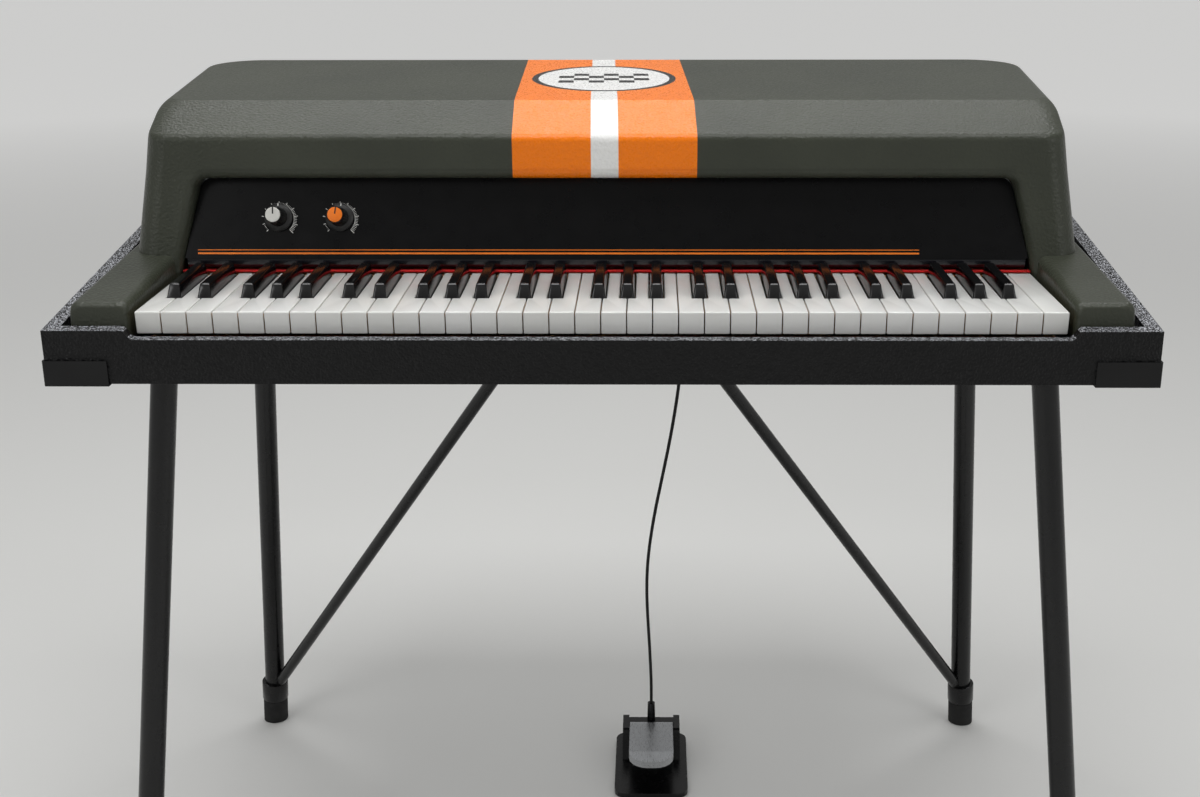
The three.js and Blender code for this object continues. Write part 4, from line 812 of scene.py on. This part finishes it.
def white_key(white):
    """A natural: moulded top, wood under it, and the lever behind."""
    left = line_beside(white - 1) + KEY_GAP / 2
    right = line_beside(white) - KEY_GAP / 2
    half_cut = BLACK_WIDTH / 2 + KEY_GAP
    tail_left = sharp_centre(white - 1) + half_cut if has_sharp(white - 1) else left
    tail_right = sharp_centre(white) - half_cut if has_sharp(white) else right
    outline = [(left, 0), (right, 0), (right, HEAD)]
    if tail_right < right:
        outline.append((tail_right, HEAD))
    outline += [(tail_right, TOP_LENGTH), (tail_left, TOP_LENGTH)]
    if tail_left > left:
        outline += [(tail_left, HEAD), (left, HEAD)]
    top = bevelled(prism(outline, "z", -WHITE_HEIGHT, 0), WHITE_EDGE, 3)
    for place, normal in (((0, 0, -CAP), (0, 0, 1)), ((0, CAP, 0), (0, 1, 0))):
        whole = top.verts[:] + top.edges[:] + top.faces[:]
        bmesh.ops.bisect_plane(top, geom=whole, plane_co=place, plane_no=normal)
    for face in top.faces:
        middle = face.calc_center_median()
        face.material_index = int(middle.z < -CAP and middle.y > CAP)
    for vert in top.verts:
        if vert.co.y < CAP - HAIR:
            vert.co.y -= vert.co.z * FRONT_LEAN
    tail = (tail_left + tail_right) / 2
    lever = box((tail_left, tail_right), (TOP_LENGTH + LEVER_GAP, KEY_LENGTH),
                (-WHITE_HEIGHT, -LEVER_DROP))
    return tail, [(top, None), (bevelled(lever, LEVER_EDGE), 1)]


def black_key(white):
    """The sharp to the right of a natural: tapered cap, wood under it, and the lever behind."""
    tail = sharp_centre(white)
    front = HEAD + KEY_GAP
    rear = front + BLACK_CAP
    half, half_top = BLACK_WIDTH / 2, BLACK_TOP / 2
    def ring(reach, y, back, z):
        return [(tail - reach, y, z), (tail + reach, y, z), (tail + reach, back, z), (tail - reach, back, z)]
    cap = loft([ring(half, front, rear, -WHITE_HEIGHT + BLACK_FOOT), ring(half, front, rear, 0),
                ring(half_top, front + BLACK_LEAN, rear, BLACK_HEIGHT)])
    cap = bevelled(cap, BLACK_EDGE, 5, where=lambda edge: max(v.co.z for v in edge.verts) > 1)
    under = box((tail - half + SEAT, tail + half - SEAT), (front + SEAT, rear),
                (-WHITE_HEIGHT, -WHITE_HEIGHT + BLACK_FOOT - KEY_EASE))
    lever = box((tail - half, tail + half), (rear + KEY_EASE, KEY_LENGTH), (-WHITE_HEIGHT, -LEVER_DROP))
    return tail, [(cap, 0), (bevelled(under, UNDER_EDGE), 1), (bevelled(lever, LEVER_EDGE), 1)]


def key_piece(name, made, played, top):
    """A key as one piece, which rides on its own body where the CAD plays it."""
    tail, parts = made
    block, pad = key_pedestal(tail)
    parts = parts + [(block, 1), (pad, 2)]
    for solid, index in parts:
        if index is not None:
            for face in solid.faces:
                face.material_index = index
    whole = merged([solid for solid, index in parts])
    body = name if played else "case"
    piece(name + "_lever", whole, body, [top, WOOD, FELT], replaces=[name] if played else [], smooth=40)


for white in range(WHITE_COUNT):
    octave = 2 + white // 7
    played = FIRST_PLAYED <= white <= LAST_PLAYED
    name = f"key_{LETTERS[white % 7]}{octave}"
    key_piece(name, white_key(white), played, IVORY)
    if has_sharp(white):
        key_piece(name + "_sharp", black_key(white), played, EBONY)

# Key frame
CASE_FLOOR = 10
FRAME_FOOT = CASE_BOTTOM + CASE_FLOOR + SEAT
RAIL_END = HALF_KEYBOARD - KEY_GAP
RAIL_HALF = 15
FRONT_RAIL, REAR_RAIL = 30, 335
FRONT_RAIL_TOP, BALANCE_TOP, REAR_RAIL_TOP = -33.7, -23.7, -21.3
RAIL_EDGE = 0.8
CROSS_HALF = 13
CROSS_HEIGHT = 14
CROSS_FRONT, CROSS_REAR = 16, 349
CROSS_SHARES = (-0.94, -0.47, 0, 0.47, 0.94)
FELT_HALF = 4
FRONT_FELT_TOP, BALANCE_FELT_TOP = -32, -21.4
FELT_EDGE = 0.4

rail_parts = []
for line, top in ((FRONT_RAIL, FRONT_RAIL_TOP), (BALANCE_LINE, BALANCE_TOP), (REAR_RAIL, REAR_RAIL_TOP)):
    rail = box((-RAIL_END, RAIL_END), (line - RAIL_HALF, line + RAIL_HALF), (FRAME_FOOT, top))
    rail_parts.append(bevelled(rail, RAIL_EDGE))
for share in CROSS_SHARES:
    x = share * HALF_KEYBOARD
    cross = box((x - CROSS_HALF, x + CROSS_HALF), (CROSS_FRONT, CROSS_REAR),
                (FRAME_FOOT, FRAME_FOOT + CROSS_HEIGHT))
    rail_parts.append(bevelled(cross, RAIL_EDGE))
piece("key_frame_rails", merged(rail_parts), "case", [WOOD], replaces=["key_frame"])
felts = []
for y, low, high in ((FRONT_RAIL, FRONT_RAIL_TOP, FRONT_FELT_TOP),
                     (BALANCE_LINE, BALANCE_TOP, BALANCE_FELT_TOP)):
    felt = box((-RAIL_END + KEY_GAP, RAIL_END - KEY_GAP), (y - FELT_HALF, y + FELT_HALF), (low, high))
    felts.append(bevelled(felt, FELT_EDGE))
piece("rail_felts", merged(felts), "case", [FELT])

# Name panel
LEAN = math.radians(18)
PANEL_FOOT_LINE = 150
PANEL_FOOT_HEIGHT = 5
PANEL_SHEET = 4
PANEL_GAP = 1
LIP_RADIUS = 9
LIP_CENTRE = 10.4
LIP_REFLECTION_FROM = 0.2
KNOB_HEIGHT = 50.9
KNOB_HOLE = 3.7
VOLUME_X, TONE_X = -325.9, -264.9
ON_PANEL = Matrix.Translation((0, PANEL_FOOT_LINE, PANEL_FOOT_HEIGHT)) @ Matrix.Rotation(-LEAN, 4, "X")


def panel_half(height):
    """Half width of the panel, a gap inside the hood's opening."""
    z = PANEL_FOOT_HEIGHT + height * math.cos(LEAN)
    return OPENING_HALF + OPENING_DRAFT * (OPENING_TOP - z) - PANEL_GAP


def panel_body():
    """Sheet with a rod for its lip; the lip's lower faces take the second material, a painted reflection of
    the white keys.
    """
    top = (OPENING_TOP - PANEL_GAP - PANEL_FOOT_HEIGHT) / math.cos(LEAN)
    corners = [(-panel_half(LIP_CENTRE), LIP_CENTRE), (panel_half(LIP_CENTRE), LIP_CENTRE),
               (panel_half(top), top), (-panel_half(top), top)]
    sheet = prism(rounded(corners, [0, 0, OPENING_CORNER, OPENING_CORNER], 8), "y", 0, PANEL_SHEET)
    end = panel_half(LIP_CENTRE + LIP_RADIUS) - SEAT
    lip = rod((-end, LIP_RADIUS, LIP_CENTRE), (end, LIP_RADIUS, LIP_CENTRE), LIP_RADIUS, sides=72)
    body = fused(sheet, lip)
    for x in (VOLUME_X, TONE_X):
        body = cut(body, rod((x, -FAR, KNOB_HEIGHT), (x, FAR, KNOB_HEIGHT), KNOB_HOLE))
    # The lip's lower faces take the painted reflection of the white keys; the rest stays panel black
    for face in body.faces:
        middle = face.calc_center_median()
        face.material_index = int(middle.z < LIP_CENTRE and middle.y > LIP_REFLECTION_FROM)
    return body


piece("name_panel_sheet", panel_body(), "case", [PANEL, LIP_REFLECTION], replaces=["name_panel"],
      place=ON_PANEL)

PRINT = 0.12
LINES = ((18.6, 0.8), (15.2, 1.8))  # height and thickness of each
LINE_FROM, LINE_TO = -406.4, 311.6


def ink(x, z):
    """A printed block, half of it sunk into the panel."""
    return box(x, (-PRINT, PRINT), z)


piece("panel_pinstripes", merged([ink((LINE_FROM, LINE_TO), (z - h / 2, z + h / 2)) for z, h in LINES]),
      "case", [PAINT_ORANGE], place=ON_PANEL)

TICK_INNER = 15.0
TICK_STEPS = 50
TICKS_PER_MAJOR = 5
TICK_REACH, TICK_GROWTH, MAJOR_EXTRA = 16.1, 2.5, 1.3
TICK_HALF, MAJOR_HALF = 0.2, 0.34
BARE_FROM, BARE_TO = -0.78, -0.22
DIAL_SWEEP = 135
DIAL_ARC_STEPS = 40
DIAL_ARC = (-0.2, 0.15)
DIAL_SHIFT = Vector((0.4, 0, -1.5))


def dial(x):
    """Ticks that grow longer from the top round to the lower right, with an arc on that side."""
    middle = Matrix.Translation(Vector((x, 0, KNOB_HEIGHT)) + DIAL_SHIFT)
    marks = []
    for i in range(TICK_STEPS + 1):
        share = (i - TICK_STEPS / 2) / (TICK_STEPS / 2)
        major = i % TICKS_PER_MAJOR == 0
        if not major and BARE_FROM < share < BARE_TO:
            continue
        reach = TICK_REACH + TICK_GROWTH * max(share, 0.0) + (MAJOR_EXTRA if major else 0.0)
        half = MAJOR_HALF if major else TICK_HALF
        tick = box((-half, half), (-PRINT, PRINT), (TICK_INNER, reach))
        marks.append(moved(tick, middle @ Matrix.Rotation(math.radians(DIAL_SWEEP * share), 4, "Y")))
    arc = []
    turns = [math.radians(DIAL_SWEEP * i / DIAL_ARC_STEPS) for i in range(DIAL_ARC_STEPS + 1)]
    for grow in DIAL_ARC:
        radius = TICK_INNER + grow
        arc.append([(radius * math.sin(turn), radius * math.cos(turn)) for turn in turns])
    marks.append(moved(prism(arc[0] + arc[1][::-1], "y", -PRINT, PRINT), middle))
    return marks


piece("dial_ticks", merged(dial(VOLUME_X) + dial(TONE_X)), "case", [PAINT_WHITE],
      place=ON_PANEL)

# Knobs
KNOB_GAP = 0.6
KNOB_LENGTH = 24.4
FLUTES = 18
FLUTE_STEPS = 8
FLUTE_DEPTH = 0.42
# Radius and height of each point: skirt and shaft from the foot, body and cap as far below the knob's end
SKIRT_PROFILE = [(0, 0), (13.4, 0), (14, 0.5), (14, 1.6), (13.2, 2.3), (10.2, 3.1), (9.2, 3.6), (0, 3.6)]
SHAFT_PROFILE = [(0, -10.6), (2.6, -10.6), (3, -10.1), (3, 3), (0, 3)]
BODY_FOOT = [(9.6, 3.2), (9.3, 8)]
BODY_END = [(8.6, 2.6), (8.2, 1.6), (7.5, 1)]
CAP_PROFILE = [(0, 3), (7.3, 3), (7.4, 0.6), (7.0, 0.1), (6.4, 0), (0, 0)]
POINTER_HALF, POINTER_FROM, POINTER_TO = 0.7, 0.8, 7.2
POINTER_SUNK, POINTER_PROUD = 0.6, 0.1
MARK_HALF, MARK_FROM, MARK_TO = 0.6, 10.0, 13.8
MARK_FOOT, MARK_TOP = 1.6, 2.8
MARK_EDGE = 0.08


def knob_parts():
    """Skirt, body, cap, shaft, pointer line and skirt mark, each with its material's index."""
    skirt = turned(SKIRT_PROFILE, 72)
    def ring(radius, z):
        points = []
        for i in range(FLUTES * FLUTE_STEPS):
            turn = 2 * math.pi * i / (FLUTES * FLUTE_STEPS)
            dip = FLUTE_DEPTH * (0.5 - 0.5 * math.cos(turn * FLUTES)) ** 2
            points.append(((radius - dip) * math.cos(turn), (radius - dip) * math.sin(turn), z))
        return points
    body = loft([ring(*point) for point in BODY_FOOT]
                + [ring(radius, KNOB_LENGTH - below) for radius, below in BODY_END])
    cap = turned([(radius, KNOB_LENGTH - below) for radius, below in CAP_PROFILE], 64)
    shaft = turned(SHAFT_PROFILE, 32)
    line = box((-POINTER_HALF, POINTER_HALF), (POINTER_FROM, POINTER_TO),
               (KNOB_LENGTH - POINTER_SUNK, KNOB_LENGTH + POINTER_PROUD))
    mark = box((-MARK_HALF, MARK_HALF), (MARK_FROM, MARK_TO), (MARK_FOOT, MARK_TOP))
    return [(skirt, 0), (body, 0), (cap, 1), (shaft, 2), (bevelled(line, MARK_EDGE), 3),
            (bevelled(mark, MARK_EDGE), 4)]


def knob(name, body, x, cap, line, turn):
    """A knob on the panel, its pointer turned by some degrees at rest."""
    parts = knob_parts()
    for solid, index in parts:
        for face in solid.faces:
            face.material_index = index
    place = ON_PANEL @ Matrix.Translation((x, -KNOB_GAP, KNOB_HEIGHT)) @ Matrix.Rotation(math.pi / 2, 4, "X")
    place = place @ Matrix.Rotation(math.radians(turn), 4, "Z")
    piece(name, merged([solid for solid, index in parts]), body,
          [KNOB_BLACK, cap, STEEL, line, PAINT_WHITE], replaces=[body], place=place)


knob("volume_knob_cap", "volume_knob", VOLUME_X, CAP_GREY, KNOB_BLACK, 0)
knob("tone_knob_cap", "tone_knob", TONE_X, CAP_ORANGE, KNOB_BLACK, -8)
dress("control_board", BOARD, 0.2)

# Felt strip
STRIP_HALF = 422
STRIP_FRONT, STRIP_REAR = 150.4, 158.5
STRIP_SHEET = 1.7
STRIP_EDGE = 0.5

lip_bottom = PANEL_FOOT_HEIGHT + LIP_CENTRE * math.cos(LEAN) - LIP_RADIUS * math.sin(LEAN) - LIP_RADIUS
strip_top = lip_bottom - SEAT
strip = box((-STRIP_HALF, STRIP_HALF), (STRIP_FRONT, STRIP_REAR), (strip_top - STRIP_SHEET, strip_top))
piece("felt_strip_red", bevelled(strip, STRIP_EDGE, 3), "case", [FELT], replaces=["felt_strip"])

# Case
dress("case_tray", TOLEX, 1.8, 3, 40)
for side in ("left", "right"):
    dress(f"corner_protector_{side}", EDGE_STEEL, 0.7, 3)
    dress(f"action_bracket_{side}", ALUMINIUM, 0.4, 2)

# Action
dress("hammer_rail", PLASTIC, 0.3, 1)
dress("damper_rail", ALUMINIUM, 0.2, 1)
dress("harp_frame", STEEL, 0.2, 1)
dress("pickup_rail", PLASTIC, 0.3, 1)

# Legs
FRONT_LEG = ((419, 60), (483.7, -1))  # middle of the top and middle of the foot
REAR_LEG = ((422, 450), (469.2, 521))
LEGS = {
    "front_left": (-1, *FRONT_LEG),
    "front_right": (1, *FRONT_LEG),
    "rear_left": (-1, *REAR_LEG),
    "rear_right": (1, *REAR_LEG),
}
STAND = 650
LEG_RADIUS = 12.7
LEG_WALL = 1.6
LEG_LIFT = 7.3
PLATE = 4
PLATE_HALF = 48
PLATE_CORNER = 12
PLATE_EDGE = 0.7
PLATE_TOP = CASE_BOTTOM - SEAT
PLATE_BOTTOM = PLATE_TOP - PLATE
SCREW_PLACE = 38
SOCKET_RADIUS = 18
SOCKET_DEPTH = 16
SOCKET_EDGE = 1.2
FOOT_RADIUS = 16
FOOT_HEIGHT = 34
FOOT_EDGE = 1.5
UNDER_HALF, UNDER_DEPTH = 50, 60  # the cutter that levels a foot with the ground
STEEP = 60  # degrees: only a rod's ends are sharper, so its bevel leaves its side alone
BORE = 60  # length of a bore that passes right through


def on_leg(corner, z):
    """The point of a leg's axis at a height."""
    side, top, foot = LEGS[corner]
    share = (CASE_BOTTOM - z) / STAND
    return Vector((side * (top[0] + share * (foot[0] - top[0])), top[1] + share * (foot[1] - top[1]), z))


def ring_tube(start, end, radius, wall, sides=48):
    """A tube between two points."""
    outer = rod(start, end, radius, sides=sides)
    axis = (end - start).normalized()
    return cut(outer, rod(start - axis * OVERRUN, end + axis * OVERRUN, radius - wall, sides=sides))


def leg_bore(corner, high, low):
    """Cutter for a leg's hole between two heights."""
    return rod(on_leg(corner, high), on_leg(corner, low), LEG_RADIUS + SEAT, sides=48)


def mounting_plate(x, y, half_x, half_y):
    """A plate with round corners under the case."""
    corners = rectangle((x - half_x, x + half_x), (y - half_y, y + half_y))
    outline = rounded(corners, [PLATE_CORNER] * 4, 6)
    return bevelled(prism(outline, "z", PLATE_BOTTOM, PLATE_TOP), PLATE_EDGE)


def above_plate():
    """Cutter for all that stands above a mounting plate."""
    return box((-WIDE, WIDE), (-WIDE, WIDE), (PLATE_TOP, PLATE_TOP + WIDE))


def leg_pieces(corner):
    """Tube, flange with its screws, and foot."""
    side, top, foot = LEGS[corner]
    tube_ends = on_leg(corner, PLATE_BOTTOM - SEAT), on_leg(corner, GROUND + LEG_LIFT)
    tube = ring_tube(*tube_ends, LEG_RADIUS, LEG_WALL)
    piece(f"leg_{corner}_tube", tube, "case", [ENAMEL], replaces=[f"leg_{corner}"])
    x, y = side * top[0], top[1]
    socket_end = on_leg(corner, PLATE_BOTTOM - SOCKET_DEPTH)
    socket = rod(on_leg(corner, CASE_BOTTOM + FAR), socket_end, SOCKET_RADIUS, sides=48)
    socket = cut(bevelled(socket, SOCKET_EDGE, 3, STEEP), above_plate())
    flange = fused(mounting_plate(x, y, PLATE_HALF, PLATE_HALF), socket)
    flange = cut(flange, leg_bore(corner, PLATE_BOTTOM, PLATE_BOTTOM - BORE))
    screws = screw_heads([(x + dx, y + dy, PLATE_BOTTOM) for dx in (-SCREW_PLACE, SCREW_PLACE)
                          for dy in (-SCREW_PLACE, SCREW_PLACE)])
    piece(f"leg_flange_{corner}_plate", flange, "case", [ENAMEL],
          replaces=[f"leg_flange_{corner}"])
    piece(f"leg_flange_{corner}_screws", screws, "case", [STEEL])
    cup = rod(on_leg(corner, GROUND + FOOT_HEIGHT), on_leg(corner, GROUND - FAR), FOOT_RADIUS, sides=48)
    cup = bevelled(cup, FOOT_EDGE, 3, STEEP)
    hole = leg_bore(corner, GROUND + FOOT_HEIGHT + FAR, GROUND + LEG_LIFT - SEAT)
    x, y = side * foot[0], foot[1]
    under = box((x - UNDER_HALF, x + UNDER_HALF), (y - UNDER_HALF, y + UNDER_HALF),
                (GROUND - UNDER_DEPTH, GROUND))
    piece(f"foot_{corner}_cup", cut(cup, hole, under), "case", [RUBBER],
          replaces=[f"foot_{corner}"])


for corner in LEGS:
    leg_pieces(corner)

# Braces
BRACE_RADIUS = 7
BRACE_LINE = 200
BRACE_PLACE = 76
BRACE_FOOT = 48
BRACE_TOP = 11.1
BRACE_BORE = 10.5
CLAMP = 26
CLAMP_RADIUS = 17
CLAMP_EDGE = 1
BRACKET_HALF = 118
BRACKET_DEPTH_HALF = 28
BRACKET_SOCKET_RADIUS = 10.5
BRACKET_SOCKET_LENGTH = 30
BRACKET_SOCKET_EDGE = 0.8
BRACKET_SCREW_X, BRACKET_SCREW_Y = 104, 16


def on_brace(side, distance):
    """The point of a brace's axis at a distance below the case."""
    top = Vector((side * BRACE_PLACE, BRACE_LINE, CASE_BOTTOM))
    foot = on_leg("rear_right" if side > 0 else "rear_left", GROUND + BRACE_FOOT)
    return top + (foot - top).normalized() * distance


def brace_pieces(side, name):
    """A brace with its collar round the rear leg."""
    corner = f"rear_{name}"
    foot = on_leg(corner, GROUND + BRACE_FOOT)
    length = (foot - Vector((side * BRACE_PLACE, BRACE_LINE, CASE_BOTTOM))).length
    tube = rod(on_brace(side, BRACE_TOP), on_brace(side, length), BRACE_RADIUS, sides=36)
    clamp_ends = on_leg(corner, foot.z + CLAMP / 2), on_leg(corner, foot.z - CLAMP / 2)
    collar = bevelled(rod(*clamp_ends, CLAMP_RADIUS, sides=48), CLAMP_EDGE, 2, STEEP)
    brace = cut(fused(tube, collar), leg_bore(corner, foot.z + BORE, foot.z - BORE))
    piece(f"brace_{name}_tube", brace, "case", [ENAMEL], replaces=[f"brace_{name}"])


def brace_bracket():
    """The plate under the case with a socket for each brace."""
    body = mounting_plate(0, BRACE_LINE, BRACKET_HALF, BRACKET_DEPTH_HALF)
    for side in (-1, 1):
        socket_ends = on_brace(side, -FAR), on_brace(side, BRACKET_SOCKET_LENGTH)
        socket = bevelled(rod(*socket_ends, BRACKET_SOCKET_RADIUS), BRACKET_SOCKET_EDGE, 2, STEEP)
        body = fused(body, cut(socket, above_plate()))
    for side in (-1, 1):
        bore = rod(on_brace(side, BRACE_BORE), on_brace(side, BORE), BRACE_RADIUS + SEAT)
        body = cut(body, bore)
    piece("brace_bracket_plate", body, "case", [ENAMEL], replaces=["brace_bracket"])
    screws = screw_heads([(x, BRACE_LINE + dy, PLATE_BOTTOM) for x in (-BRACKET_SCREW_X, BRACKET_SCREW_X)
                          for dy in (-BRACKET_SCREW_Y, BRACKET_SCREW_Y)])
    piece("brace_bracket_screws", screws, "case", [STEEL])


brace_bracket()
brace_pieces(-1, "left")
brace_pieces(1, "right")

# Pedal, gland and jack
dress("pedal_base", ENAMEL, 0.8, 2)
dress("pedal_lever", STEEL, 0.8, 2)
dress("cable_gland", PLASTIC, 0.3, 2)
dress("output_jack", STEEL, 0.3, 2)

# Floor, world and lamps
FLOOR_HALF = 150
FLOOR_LEVEL = -0.0005
WORLD_COLOR = srgb(232, 232, 231)
# Strength by the height of the direction: pale at the horizon, dim just above it, brighter overhead
WORLD_BANDS = ((0.04, 0.2, 0.73, 0.22), (0.2, 0.55, 0.0, 0.23))


def stage_plane(name, size, z):
    """A square at a level, in metres, that belongs to the stage and not to the piano."""
    mesh = bpy.data.meshes.new(name)
    corners = [(x, y, z) for x, y in rectangle((-size, size), (-size, size))]
    mesh.from_pydata(corners, [], [(0, 1, 2, 3)])
    mesh.materials.append(FLOOR)
    made = bpy.data.objects.new(name, mesh)
    bpy.context.scene.collection.objects.link(made)


stage_plane("floor", FLOOR_HALF, FLOOR_LEVEL)

world = bpy.data.worlds.new("studio")
world.use_nodes = True
sky = Nodes(world.node_tree)
height = sky.split(sky.node("ShaderNodeTexCoord")["Generated"])["Z"]
background = sky.tree.nodes["Background"].inputs
background["Color"].default_value = WORLD_COLOR
sky.feed(background["Strength"], sky.math("ADD", *[sky.ramp(height, *band) for band in WORLD_BANDS]))
bpy.context.scene.world = world


def lamp(name, place, aim, size, energy):
    """A rectangular lamp that points at a place, in metres and watts."""
    data = bpy.data.lights.new(name, "AREA")
    data.shape = "RECTANGLE"
    data.size, data.size_y = size
    data.energy = energy
    made = bpy.data.objects.new(name, data)
    turn = (Vector(aim) - Vector(place)).to_track_quat("-Z", "Y")
    made.matrix_world = Matrix.Translation(place) @ turn.to_matrix().to_4x4()
    bpy.context.scene.collection.objects.link(made)


lamp("overhead", (0.0, -0.45, 2.7), (0, 0, 0.8), (2.4, 0.9), 32)
lamp("strip", (0.0, 1.3, 2.75), (0, 0, 0.87), (2.6, 0.32), 19)
lamp("front_left", (-2.2, -2.4, 1.9), (0, 0, 0.6), (1.4, 1.4), 15)
lamp("front_right", (2.4, -2.0, 1.6), (0, 0, 0.6), (1.2, 1.2), 9)

bpy.context.scene.view_settings.view_transform = "Standard"
